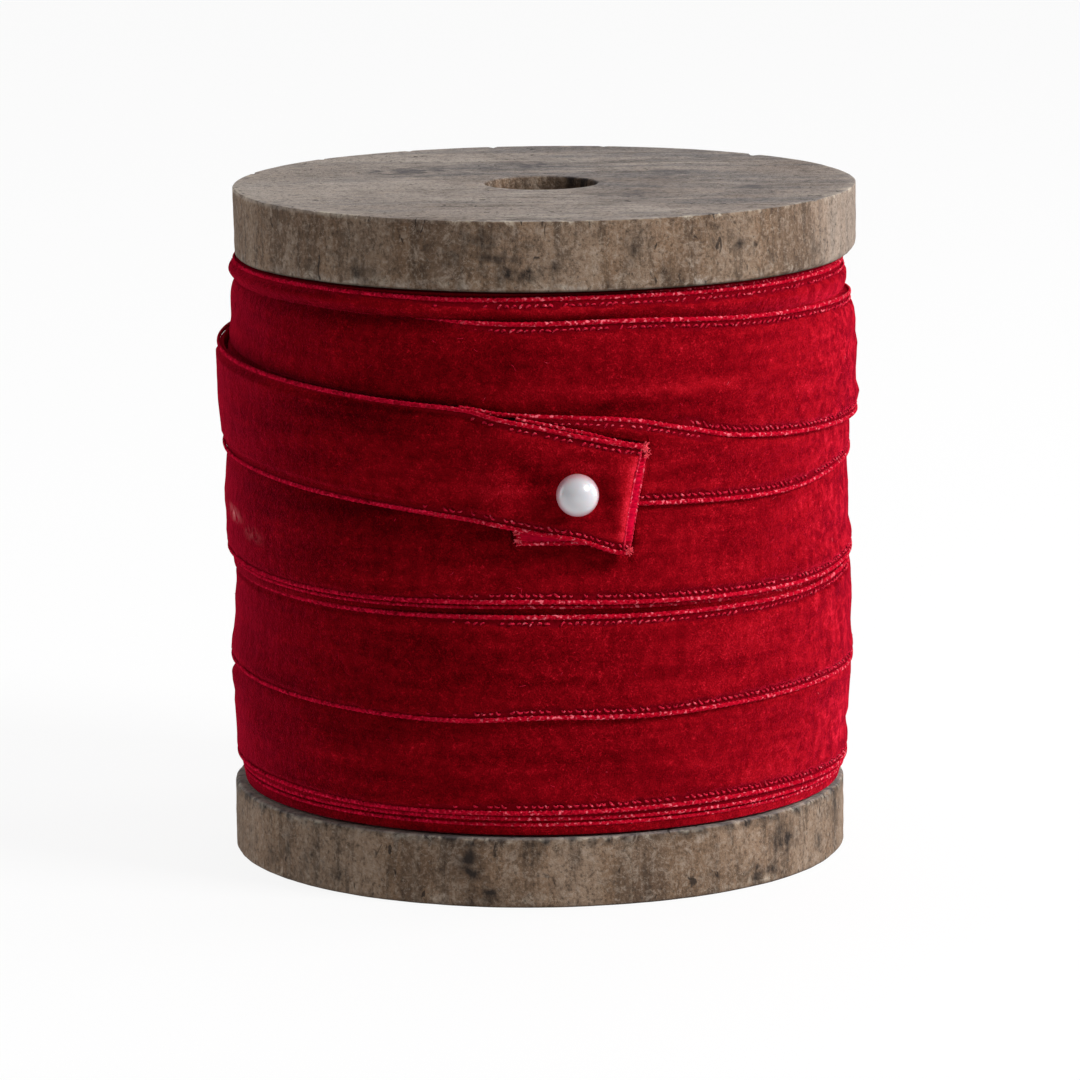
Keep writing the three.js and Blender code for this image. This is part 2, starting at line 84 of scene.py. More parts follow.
# The loose end's edges, as (azimuth, height)
TAIL_TOP = [
    (-180, 66), (-120, 64.2), (-90, 63.3), (-66, 62.3), (-46, 61.4), (-25, 60.45),
    (-14, 59.95), (-7, 59), (0, 58), (7, 56.9), (13, 56), (19, 55.25),
]
TAIL_LOW = [
    (-180, 53.4), (-120, 51.5), (-90, 50.7), (-66, 49.85), (-46, 48.85), (-28, 47.9),
    (-14, 46.9), (-7, 46.3), (0, 45.35), (7, 44.4), (13, 42.95), (19, 42.8),
]
FOLD_LINE = [(15.3, 42.9), (16.2, 46.8), (17.5, 51.5), (18.7, 55.3)]
FOLD_CLEARANCE_DEG = 0.6
TAIL_RADIUS = 39
TAIL_MM_PER_DEGREE = math.radians(1) * TAIL_RADIUS
HALF_STEP = (RIBBON_THICK + LAYER_GAP) / 2
TAIL_START = -149.4
TAIL_SLANT_FROM = -6
UNDER_CUT_AZIMUTH = -4.4
UNDER_LOW_HEIGHT = 44.05
UNDER_TOP_RISE = 0.35
UNDER_CUT_CLEARANCE = 1
UNDER_EASE = 3
LIFT_FROM = UNDER_CUT_AZIMUTH - 9
LIFT_TO = UNDER_CUT_AZIMUTH - 2
THIRD_TOP_FROM = -14.5
THIRD_LOW_HIDDEN_FROM = -90
GROOVE_END_SHARE = 0.4

# Edges of the wound turns, from the top flange down, as (azimuth, height)
TURN_EDGES = {
    "upperTop": [
        (-180, ROLL_TOP), (-120, ROLL_TOP), (-76, 73.3), (-40, 73.05), (-15, 72.8),
        (10, 73), (47, 72.8), (90, 72.8), (135, 72.5), (180, 72),
    ],
    "secondTop": [
        (-180, 72), (-135, 71.2), (-90, 70.8), (-49, 70.75), (-26, 70.3), (-4, 70.05),
        (17, 70.2), (41, 69.45), (67, 69.1), (90, 68.6), (135, 67.4), (180, 66),
    ],
    "thirdTop": [
        (-20, 59.9), (THIRD_TOP_FROM, 60.2), (-7.5, 59.5), (2.8, 59.1), (9.7, 58.85),
        (16.7, 58.4), (24, 57.4), (28, 56.8), (32, 56.1), (36.5, 55.55), (41, 55.2),
        (51, 54.7), (66, 54.35), (90, 54.1), (135, 53.7), (180, 53.4),
    ],
    "thirdLow": [
        (15, 48.4), (28, 48.1), (42, 47.75), (53, 47.8), (69, 48.6), (90, 49.6),
        (115, 51.5), (140, 53.65), (180, 53.4),
    ],
    "thirdLowBehind": [(-180, 43.5), (-135, 46.8), (-90, 50.35)],
    "fourthLow": [
        (-180, 30.5), (-135, 34.5), (-90, 37.6), (-77, 37.6), (-62, 37.1),
        (-38, 36.75), (-14, 36.9), (0, 37), (17, 36.6), (42, 36.2), (60, 36.2),
        (75, 36.7), (90, 37.2), (135, 40), (180, 43.5),
    ],
    "fifthTop": [
        (-180, 30.5), (-135, 33.6), (-90, 35.4), (-62, 35.3), (-38, 35.05),
        (0, 35.25), (25, 35), (54, 35), (72, 35.6), (90, 36.3), (135, 39.6),
        (180, 43.5),
    ],
    "fifthLow": [
        (-180, 17.6), (-135, 21.4), (-90, 24), (-60, 23.4), (-30, 22.75), (-15, 22.6),
        (0, 23.1), (20, 22.9), (38, 23.15), (60, 23.3), (80, 23.3), (90, 23.7),
        (135, 27), (180, 30.5),
    ],
    "sixthLow": [
        (-180, 9.6), (-135, 11), (-90, 12), (-63, 11.95), (-30, 11.4), (0, 11.5),
        (40, 11.6), (76, 11.3), (90, 11.6), (135, 14.2), (180, 17.6),
    ],
    "innerLow": [
        (-180, ROLL_LOW), (-135, 9.6), (-90, 10.9), (-45, 10.7), (0, 10.7),
        (90, 10.3), (135, 9.8), (180, 9.6),
    ],
}

# Radii of each turn: behind at its left end, on the left, in front, on the right, and
# behind at its right end. Three are at its top edge, middle and low edge, one is at all.
TURN_RADII = {
    "innerUpper": ((37.2, 37.3, 37.4), 37.4, 36.9, 36.9, (37.2, 37.3, 37.4)),
    "upper": ((37.2, 37.3, 37.4), (37.6, 38.2, 37.7), (37.5, 37.8, 37.5),
              (37.2, 37.7, 37.6), (37.7, 38, 37.9)),
    "second": ((37.7, 38, 37.9), (37.9, 37.7, 38.1), (38.1, 38.4, 38),
               (38.3, 38.75, 39.1), (39.1, 39.4, 39.2)),
    "thirdUpper": (38, 38, (38.6, 38.6, 38.3), (37.7, 37.9, 38), 38),
    "underTail": ((39.1, 39.4, 39.2), (38.3, 38.1, 37.8), (37.4, 37.35, 37.3), 37.4, 38),
    "thirdLower": ((38, 38.3, 38.4), (38, 38.2, 38.2), (38.3, 38.2, 38.3), (38, 38, 38.1),
                   38),
    "fourth": ((37.9, 38.2, 38.4), (38.6, 39, 38.8), (37.7, 38.2, 38.4),
               (37.6, 37.9, 38.3), (38, 38.3, 38.4)),
    "innerGap": (37.8, 38.1, 37.4, 37.6, 37.8),
    "fifth": ((37.9, 38.2, 38.3), (37.7, 37.9, 38.5), (38.2, 38.3, 38.5),
              (38.1, 38.3, 38.5), (37.9, 38.2, 38.4)),
    "sixth": ((37.9, 38, 38), (38, 38.2, 38), (38, 38.2, 38.1), (38.2, 37.8, 37.7),
              (37.9, 38.2, 38.3)),
    "innerLower": (37.2, 37.4, 37.5, 37.3, (37.9, 38, 38)),
    "innerLast": (37, 37.1, 37, 36.8, 37.2),
}
TURNS = list(TURN_RADII)
UNEVEN_DEPTH = 0.12
UNEVEN_WAVES = 3
UNEVEN_PHASE_PER_MM = 7
HIDDEN_TURN = 0.05
WELD_WITHIN = 0.002

# How far each edge of a turn shows its selvedge, 1, or is tucked under its
# neighbour, 0, as (azimuth, share). The edges that aren't named never show.
ALWAYS = [(-180, 1), (180, 1)]
NEVER = [(-180, 0), (180, 0)]
BEHIND_TAIL = [(-180, 1), (TAIL_START, 1), (TAIL_START + 0.5, 0), (180, 0)]
EDGE_SHOWS = {
    ("innerUpper", "top"): ALWAYS,
    ("upper", "top"): ALWAYS,
    ("second", "top"): [(-180, 1), (-150, 1), (-110, 0), (-26, 0), (-6, 1), (180, 1)],
    ("second", "low"): [(-180, 0), (21, 0), (29, 1), (180, 1)],
    ("thirdUpper", "top"): [(-180, 0), (-14.6, 0), (-14.4, 1), (28, 1), (36, 0), (180, 0)],
    ("underTail", "top"): BEHIND_TAIL,
    ("underTail", "low"): BEHIND_TAIL,
    ("thirdLower", "low"): [
        (-180, 1), (-98, 1), (-92, 0), (14, 0), (15, 1), (128, 1), (136, 0), (180, 0)],
    ("fourth", "low"): ALWAYS,
    ("fifth", "top"): [(-180, 0), (-105, 0), (-92, 1), (84, 1), (100, 0), (180, 0)],
    ("fifth", "low"): ALWAYS,
    ("sixth", "low"): ALWAYS,
    ("innerLower", "low"): ALWAYS,
}
# Edges where two piles meet in a soft crease wherever the selvedge is tucked away
CREASED = {("upper", "low"), ("second", "top")}
# Rows of one and the same turn, right of the fold, with nothing to see between them
JOINED_FROM = FOLD_LINE[0][0] + 0.5
JOINED = {
    ("thirdUpper", "low"), ("thirdLower", "top"), ("underTail", "top"), ("underTail", "low"),
}
# How deep a tucked edge lies, and over how many millimetres it rises again
CREASE_TUCK = (0.75, 0.85)
EDGE_TUCK = (0.3, 0.45)

# The selvedge, measured across the ribbon from its edge
LIP_RADIUS = 0.24
LIP_SIDES = 8
LIP_FLAT = 0.35
LIP_PLACE = 0.06
LIP_DEPTH = 0.22
BEAD_PITCH = 0.78
BEAD_RISE = 0.1
BEAD_DRIFT = 0.012
BEAD_LEAN = 0.22
BEAD_SHARP = 1.6
STITCH_PLACE = 0.84
STITCH_PITCH = 0.86
STITCH_HALF = 0.28
STITCH_DEEP = 0.15
STITCH_RISE = 0.14
STITCH_MISSING = 0.06
THREAD_RADIUS = 0.13
SUNK = 0.9
GROUND_DEPTH = 0.36
STITCH_DEPTH = GROUND_DEPTH - 0.06
RUN_STEPS = 1701
SHORTEST_RUN = 12
PILE_FROM = 0.98
PILE_TO = 1.4
PILE_EDGE_UNEVEN = 0.13
# On the left front the pile leans over the selvedge and hides the stitches: how far,
# as (azimuth, share), and by how much in millimetres
PILE_LEANS = [(-180, 0), (-105, 0), (-85, 1), (-25, 1), (-4, 0), (180, 0)]
PILE_LEAN = 0.62

# The discs: unevenness in millimetres, and how wide the zones at the rim and corner are
FLANGE_STEPS = 400
BARREL_STEPS = 160
SWELL_BROAD = 0.05
SWELL_FINE = 0.018
FACE_SWELL = 0.6
NICK_IN = 0.32
NICK_DOWN = 0.25
NICK_ZONE = 1.1
RIM_ZONE = 0.6
THIN_EDGE = 0.45
EDGE_SHADE_TALL = 0.35
FACE_FROM = 0.97 * FLANGE_THICK
FACE_STAIN_FROM = 0.9 * FLANGE_THICK
DARKEST = 0.92
# Azimuths between which the rim on the right turns grey, and how fast it starts
GREY_FROM = 55
GREY_TO = 110
GREY_OVER = 10
WOOD_MARKS = ("wear", "edge_shade", "frost", "stain_and_shade", "pale")
# Corners and marks of each flange. The lower corner is sharp or blunt, worn as
# (azimuth, share); upper is the upper corner's radius. frost and hem are the pale wear's
# strength at the upper and lower edge, ring the dark band beside the roll, which is painted
# shade under the ribbon and some dirt, and greyer how far the rim turns grey on the right.
# Stains are azimuth, height, reach, tall, strength on the rim, and x, y, reach, tall,
# strength on the face.
BOTTOM_CORNER = {
    "sharp": 0.25,
    "blunt": 1.0,
    "worn": [(-180, 0.6), (-90, 0.4), (-50, 0), (60, 0), (90, 0.5), (180, 0.6)],
    "upper": 0.5,
    "frost": 0.25,
    "hem": 0.1,
    "ring": 0.75,
    "greyer": 0,
    "stains": [
        (-47, 2.6, 2.6, 1.8, 1.0), (-54, 4.5, 1.5, 3.5, 0.6), (-41, 1.8, 2.2, 1.2, 0.8),
        (-60, 2.4, 2.0, 1.4, 0.5), (-13, 4.0, 2.2, 3.8, 0.75), (-9, 1.5, 3.0, 1.2, 0.5),
        (3, 2.2, 2.6, 1.6, 0.3), (52, 4.9, 3.4, 1.9, 0.95), (46, 1.4, 4.6, 0.8, 0.9),
        (64, 3.0, 2.0, 1.2, 0.6), (74, 5.5, 3.0, 2.2, 0.6), (100, 4, 5, 2, 0.5),
        (140, 3, 6, 2.5, 0.6), (-95, 5, 4, 3, 0.5), (-130, 3, 8, 2, 0.6),
        (178, 5, 5, 3, 0.5),
    ],
    "face_stains": [],
}
TOP_CORNER = {
    "sharp": 0.3,
    "blunt": 1.4,
    "worn": [(-180, 0.5), (-90, 0), (0, 0.2), (40, 0.3), (80, 1), (120, 1), (180, 0.5)],
    "upper": 0.16,
    "frost": 0,
    "hem": 0.55,
    "ring": 0,
    "greyer": 0.45,
    "stains": [
        (-11, 5.0, 5.0, 2.4, 0.6), (-4, 2.4, 5.0, 1.6, 0.7), (-18, 3.6, 2.0, 1.8, 0.2),
        (-35, 4.5, 2.6, 2.4, 0.25), (-34, 1.4, 2.6, 1.3, 0.6), (-62, 5, 4, 2.5, 0.25),
        (15, 4.4, 1.6, 2.4, 0.7), (23, 1.8, 2.6, 0.8, 0.45), (2, 4, 0.5, 4, 0.5),
        (31, 6.3, 1.6, 1.6, 0.6), (37, 5.4, 2.4, 2.0, 0.6), (45, 3.4, 1.4, 2.2, 0.4),
        (58, 2.6, 2.4, 1.2, 0.4), (110, 4, 5, 2, 0.5), (150, 5, 7, 2, 0.5),
        (-110, 4, 6, 3, 0.5), (-150, 3, 5, 2, 0.5),
    ],
    "face_stains": [
        (-14, 12, 9, 5, 0.8), (0, 17, 7, 4, 0.75), (18, 6, 3, 5, 0.8),
        (11, -13, 5, 6, 0.6), (21, 24, 4, 4, 0.5), (27, -7, 3.5, 4, 0.8),
        (-24, 3, 5, 1.5, 0.3), (9, 3, 3, 3, 0.5),
    ],
}


# Curves through the tables


def curve_at(knots, azimuth):
    """Smooth curve through (azimuth, value) knots, flat past its ends."""
    x, y = np.array(knots, float).T
    last = len(x) - 1
    before = np.maximum(np.arange(last + 1) - 1, 0)
    after = np.minimum(np.arange(last + 1) + 1, last)
    slope = (y[after] - y[before]) / (x[after] - x[before])
    a = np.clip(azimuth, x[0], x[-1])
    i = np.clip(np.searchsorted(x, a, side="left") - 1, 0, last - 1)
    span = x[i + 1] - x[i]
    t = (a - x[i]) / span
    t2 = t * t
    t3 = t2 * t
    return (
        (2 * t3 - 3 * t2 + 1) * y[i]
        + (t3 - 2 * t2 + t) * slope[i] * span
        + (3 * t2 - 2 * t3) * y[i + 1]
        + (t3 - t2) * slope[i + 1] * span
    )


def share_at(knots, azimuth):
    """Straight lines through (azimuth, share) knots."""
    return np.interp(azimuth, *np.array(knots, float).T)


def ease(t):
    t = np.clip(t, 0, 1)
    return t * t * (3 - 2 * t)


def ease_between(a, b, t):
    return a + (b - a) * ease(t)


def between(a, b, t):
    return a + (b - a) * t


def hump(value, middle, reach):
    """A soft bell that is 1 at its middle."""
    return np.exp(-((value - middle) / reach) ** 2)


def soft_spots(spots, x, y):
    """The sum of soft spots at arrays of places: x, y, reach in each, strength."""
    total = np.zeros(np.broadcast(x, y).shape)
    for spot_x, spot_y, reach, tall, strength in spots:
        total = total + strength * hump(x, spot_x, reach) * hump(y, spot_y, tall)
    return total


def unit(vectors):
    return vectors / np.linalg.norm(vectors, axis=-1, keepdims=True)


def circle(steps):
    """Angles in even steps round a circle, from 0."""
    return 2 * math.pi * np.arange(steps) / steps


def sampled(rows, steps, spots):
    """Rows of numbers at spots between the given rows, which stand at steps."""
    return np.stack([np.interp(spots, steps, column) for column in rows.T], axis=-1)


def ripples(points, size, seed):
    """A smooth random field of about unit depth, with waves about as long as size."""
    draw = np.random.RandomState(seed)
    turns = unit(draw.normal(size=(RIPPLE_WAVES, points.shape[-1])))
    lengths = 2 * math.pi / (size * draw.uniform(0.6, 1.8, RIPPLE_WAVES))
    phases = draw.uniform(0, 2 * math.pi, RIPPLE_WAVES)
    total = 0
    for turn, length, phase in zip(turns, lengths, phases):
        total = total + np.cos(points @ (turn * length) + phase)
    return total / math.sqrt(RIPPLE_WAVES / 2)


def unevenness(points, waves):
    """The sum of several ripples, given as (size, seed, depth)."""
    return sum(depth * ripples(points, size, seed) for size, seed, depth in waves)


def azimuth_of(points):
    """The azimuth of places given in metres."""
    x = points[..., 0] / MM - ROLL_CENTRE_X - SPOOL_SHIFT[0]
    return np.degrees(np.arctan2(x, SPOOL_SHIFT[1] - points[..., 1] / MM))


def at(azimuth, radius, height, centre=(ROLL_CENTRE_X, 0)):
    """A place about the roll's axis or another, in metres in the part's frame."""
    angle = np.radians(azimuth)
    x = centre[0] + SPOOL_SHIFT[0] + radius * np.sin(angle)
    y = centre[1] + SPOOL_SHIFT[1] - radius * np.cos(angle)
    return np.stack(np.broadcast_arrays(x, y, height), axis=-1) * MM


# Meshes


def mesh_piece(name, points, faces, materials, floats, slots=None):
    """A smooth mesh in the scene; floats has one number for each point under a name,
    and slots the number of each face's material."""
    mesh = bpy.data.meshes.new(name)
    faces = faces.tolist() if isinstance(faces, np.ndarray) else faces
    mesh.from_pydata(np.reshape(points, (-1, 3)).tolist(), [], faces)
    for material in materials:
        mesh.materials.append(material)
    if slots is not None:
        mesh.polygons.foreach_set("material_index", np.asarray(slots, np.int32))
    mesh.polygons.foreach_set("use_smooth", np.ones(len(mesh.polygons), bool))
    for key, values in floats.items():
        layer = mesh.attributes.new(key, "FLOAT", "POINT")
        layer.data.foreach_set("value", np.asarray(values, np.float32).ravel())
    mesh.update()
    piece = bpy.data.objects.new(name, mesh)
    bpy.context.scene.collection.objects.link(piece)
    return piece


def ring_faces(rings, count, closed=False):
    """Faces between rings of count points each, wound so that they face out."""
    ring = np.arange(rings if closed else rings - 1)[:, None]
    step = np.arange(count)[None, :]
    here = ring * count
    after = ((ring + 1) % rings) * count
    ahead = (step + 1) % count
    corners = [here + step, here + ahead, after + ahead, after + step]
    return np.stack(corners, axis=-1).reshape(-1, 4)


def tube(path, outward, radii, sides):
    """Points and faces of a closed tube; radii has one row of sides for each point."""
    along = unit(np.gradient(path, axis=0))
    out = unit(outward - (outward * along).sum(1, keepdims=True) * along)
    across = np.cross(along, out)
    turn = circle(sides)
    radii = np.broadcast_to(radii, (len(path), sides))
    points = (
        path[:, None, :]
        + (radii * np.cos(turn))[:, :, None] * out[:, None, :]
        + (radii * np.sin(turn))[:, :, None] * across[:, None, :]
    ).reshape(-1, 3)
    last = len(points) - sides
    faces = ring_faces(len(path), sides).tolist()
    faces += [[0, k + 1, k] for k in range(1, sides - 1)]
    faces += [[last, last + k, last + k + 1] for k in range(1, sides - 1)]
    return points, faces


class Joined:
    """Collects several meshes into one."""

    def __init__(self):
        self.points = []
        self.faces = []
        self.count = 0

    def add(self, points, faces):
        self.points.append(points)
        self.faces.extend([[i + self.count for i in face] for face in faces])
        self.count += len(points)

    def piece(self, name, material):
        points = np.concatenate(self.points)
        leans = share_at(PILE_LEANS, azimuth_of(points))
        return mesh_piece(name, points, self.faces, [material], {"leans": leans})


# Materials


class Shader:
    """A node tree with short calls to add nodes, by itself or as a new material with
    a Principled shader."""

    def __init__(self, name=None, tree=None):
        self.tree = tree
        if name:
            self.material = bpy.data.materials.new(name)
            self.material.use_nodes = True
            self.tree = self.material.node_tree
            self.shader = self.tree.nodes["Principled BSDF"]
            self.place = self.node("ShaderNodeTexCoord").outputs["Object"]

    def node(self, kind, inputs=(), **values):
        """A new node; inputs pairs each socket with a value or with a link's start."""
        made = self.tree.nodes.new(kind)
        for key, value in values.items():
            setattr(made, key, value)
        for key, value in dict(inputs).items():
            if isinstance(value, bpy.types.NodeSocket):
                self.tree.links.new(value, made.inputs[key])
            else:
                made.inputs[key].default_value = value
        return made

    def set(self, **values):
        for key, value in values.items():
            self.shader.inputs[key.replace("_", " ")].default_value = value

    def noise(self, scale, detail=2, rough=0.5, stretch=None, warp=0):
        place = self.place
        if stretch:
            scaled = self.node("ShaderNodeMapping", {"Vector": place, "Scale": stretch})
            place = scaled.outputs["Vector"]
        return self.node("ShaderNodeTexNoise", {
            "Vector": place, "Scale": scale, "Detail": detail, "Roughness": rough,
            "Distortion": warp,
        }).outputs["Fac"]

    def curls(self, scale, width):
        """Short thin curls, one noise's contour line broken up by another noise."""
        line = self.math("ABSOLUTE", self.math("SUBTRACT", self.noise(scale, 1), 0.5))
        broken = self.limits(self.noise(scale * 0.7, 1), 0.47, 0.56)
        return self.times(self.limits(line, 0, width, 1, 0), broken)

    def attribute(self, name):
        return self.node("ShaderNodeAttribute", attribute_name=name).outputs["Fac"]

    def ramp(self, value, stops):
        made = self.node("ShaderNodeValToRGB", {"Fac": value})
        elements = made.color_ramp.elements
        while len(elements) < len(stops):
            elements.new(0.5)
        for element, (position, colour) in zip(elements, stops):
            element.position = position
            element.color = (*colour, 1)
        return made.outputs["Color"]

    def limits(self, value, low, high, to_low=0, to_high=1):
        """A value's range from low to high moved to another range, and kept in it."""
        return self.node("ShaderNodeMapRange", {
            "Value": value, "From Min": low, "From Max": high, "To Min": to_low,
            "To Max": to_high,
        }).outputs["Result"]

    def math(self, operation, *values):
        made = self.node("ShaderNodeMath", enumerate(values), operation=operation)
        return made.outputs["Value"]

    def times(self, a, b):
        return self.math("MULTIPLY", a, b)

    def total(self, first, *others):
        for value in others:
            first = self.math("ADD", first, value)
        return first

    def mix(self, share, a, b):
        """Colour a, or b where share is 1."""
        made = self.node("ShaderNodeMix", {"Factor": share}, data_type="RGBA")
        sockets = [s for s in made.inputs if s.type == "RGBA"]
        for socket, value in zip(sockets, (a, b)):
            if isinstance(value, tuple):
                socket.default_value = (*value, 1)
            else:
                self.tree.links.new(value, socket)
        return [o for o in made.outputs if o.type == "RGBA"][0]

    def layers(self, base, rows):
        """Colours over a base: a value, where it starts and ends to let the colour
        through, the most that comes through, and the colour."""
        for value, low, high, most, colour in rows:
            base = self.mix(self.limits(value, low, high, 0, most), base, colour)
        return base

    def finished(self, colour, *bumps):
        """The material with its colour and its bumps: height, distance, strength."""
        self.tree.links.new(colour, self.shader.inputs["Base Color"])
        normal = {}
        for height, distance, strength in bumps:
            made = self.node("ShaderNodeBump", {
                "Height": height, "Distance": distance, "Strength": strength, **normal,
            })
            normal = {"Normal": made.outputs["Normal"]}
        for socket in normal.values():
            self.tree.links.new(socket, self.shader.inputs["Normal"])
        return self.material


def velvet_pile():
    """Short dense pile. How light it looks is painted light and shade laid on by place, over
    its own streaks and flecks; bare says where the woven ground shows, scuff where it is
    rubbed pale, and one more mark where mottled painted sheen lies in patches."""
    s = Shader("velvet_pile")
    s.set(Roughness=1.0, Specular_IOR_Level=0.0)
    s.set(Sheen_Weight=0.85, Sheen_Roughness=0.33, Sheen_Tint=(1.0, 0.02, 0.08, 1))
    streaks = s.noise(900, 3, 0.6, stretch=(0.1, 0.1, 1))
    tufts = s.noise(700, 4, 0.65)
    flecks = s.noise(3200, 2, 0.6, warp=1.6)
    fine = s.noise(6500, 2, 0.6)
    loud = s.limits(s.noise(90, 3, 0.6), 0.4, 0.6, 0.75, 1.2)
    bright = s.total(s.limits(flecks, 0.5, 0.74, -0.04, 0.22), s.times(s.curls(1900, 0.03), 0.26))
    # Noise for the mottled painted sheen
    sheen_mottle_noise = s.limits(s.noise(560, 5, 0.7, warp=0.8), 0.42, 0.58, -0.2, 0.2)
    # Painted light and shade from the mesh, over the pile's own streaks, tufts and flecks
    painted_light_and_tone = s.total(
        s.attribute("painted_light_and_tone"),
        s.limits(streaks, 0.3, 0.7, -0.06, 0.06),
        s.limits(tufts, 0.3, 0.7, -0.1, 0.1),
        s.limits(fine, 0.3, 0.7, -0.1, 0.1),
        s.times(bright, loud),
        s.times(s.attribute("sheen_mottle"), sheen_mottle_noise),
    )
    pile = s.ramp(painted_light_and_tone, [
        (0.0, (0.018, 0.0001, 0.0006)),
        (0.25, (0.07, 0.0003, 0.0016)),
        (0.5, (0.17, 0.0012, 0.004)),
        (0.75, (0.34, 0.004, 0.0095)),
        (1.0, (0.62, 0.016, 0.035)),
    ])
    ground = s.mix(fine, (0.06, 0.0003, 0.0018), (0.24, 0.002, 0.008))
    bare = s.total(s.attribute("bare"), s.limits(flecks, 0.3, 0.7, -0.3, 0.3))
    base = s.mix(s.limits(bare, 0.4, 0.65), pile, ground)
    rubbed = s.times(s.attribute("scuff"), s.limits(tufts, 0.4, 0.56))
    base = s.mix(rubbed, base, (0.6, 0.22, 0.22))
    return s.finished(base, (tufts, 0.0003, 0.8), (flecks, 0.00014, 0.9))


def velvet_selvedge(name, dull, bright):
    """Woven threads, with fuzz where leans says that the pile lies over them."""
    s = Shader(name)
    s.set(Roughness=0.8, Specular_IOR_Level=0.0)
    s.set(Sheen_Weight=0.25, Sheen_Roughness=0.45, Sheen_Tint=(1.0, 0.015, 0.08, 1))
    leans = s.attribute("leans")
    knots = s.noise(2300, 1)
    threads = s.noise(3600)
    base = s.layers(s.mix(s.noise(170, 2, 0.6), dull, bright), [
        (threads, 0.5, 0.3, 0.75, (0.08, 0.0005, 0.003)),
        (threads, 0.56, 0.72, 0.6, (0.7, 0.025, 0.06)),
    ])
    # Painted glints on the selvedge's beads, none where the pile lies over it
    glints = s.times(s.limits(knots, 0.58, 0.7, 0, 0.8), s.math("SUBTRACT", 1.0, leans))
    base = s.mix(glints, base, (0.92, 0.17, 0.22))
    tufts = s.noise(1500, 4, 0.7, warp=0.8)
    fuzz = s.mix(s.limits(tufts, 0.36, 0.64), (0.06, 0.0003, 0.002), (0.5, 0.003, 0.024))
    fuzz = s.layers(fuzz, [(threads, 0.54, 0.68, 0.7, (0.75, 0.02, 0.07))])
    base = s.mix(s.times(leans, 0.9), base, fuzz)
    return s.finished(base, (threads, 0.0001, 0.9), (tufts, 0.00022, 0.9))


def velvet_fold():
    """The satin ground where the pile parts over the fold."""
    s = Shader("velvet_fold")
    s.set(Roughness=0.8, Specular_IOR_Level=0.0)
    s.set(Sheen_Weight=0.1, Sheen_Roughness=0.4, Sheen_Tint=(1.0, 0.01, 0.09, 1))
    weave = s.noise(2600, stretch=(0.4, 0.4, 2.0))
    base = s.mix(s.limits(weave, 0.36, 0.64), (0.2, 0.0008, 0.007), (0.52, 0.003, 0.022))
    base = s.layers(base, [(s.noise(300, 3, 0.6), 0.4, 0.7, 0.5, (0.46, 0.002, 0.03))])
    return s.finished(base, (weave, 0.00005, 0.8))


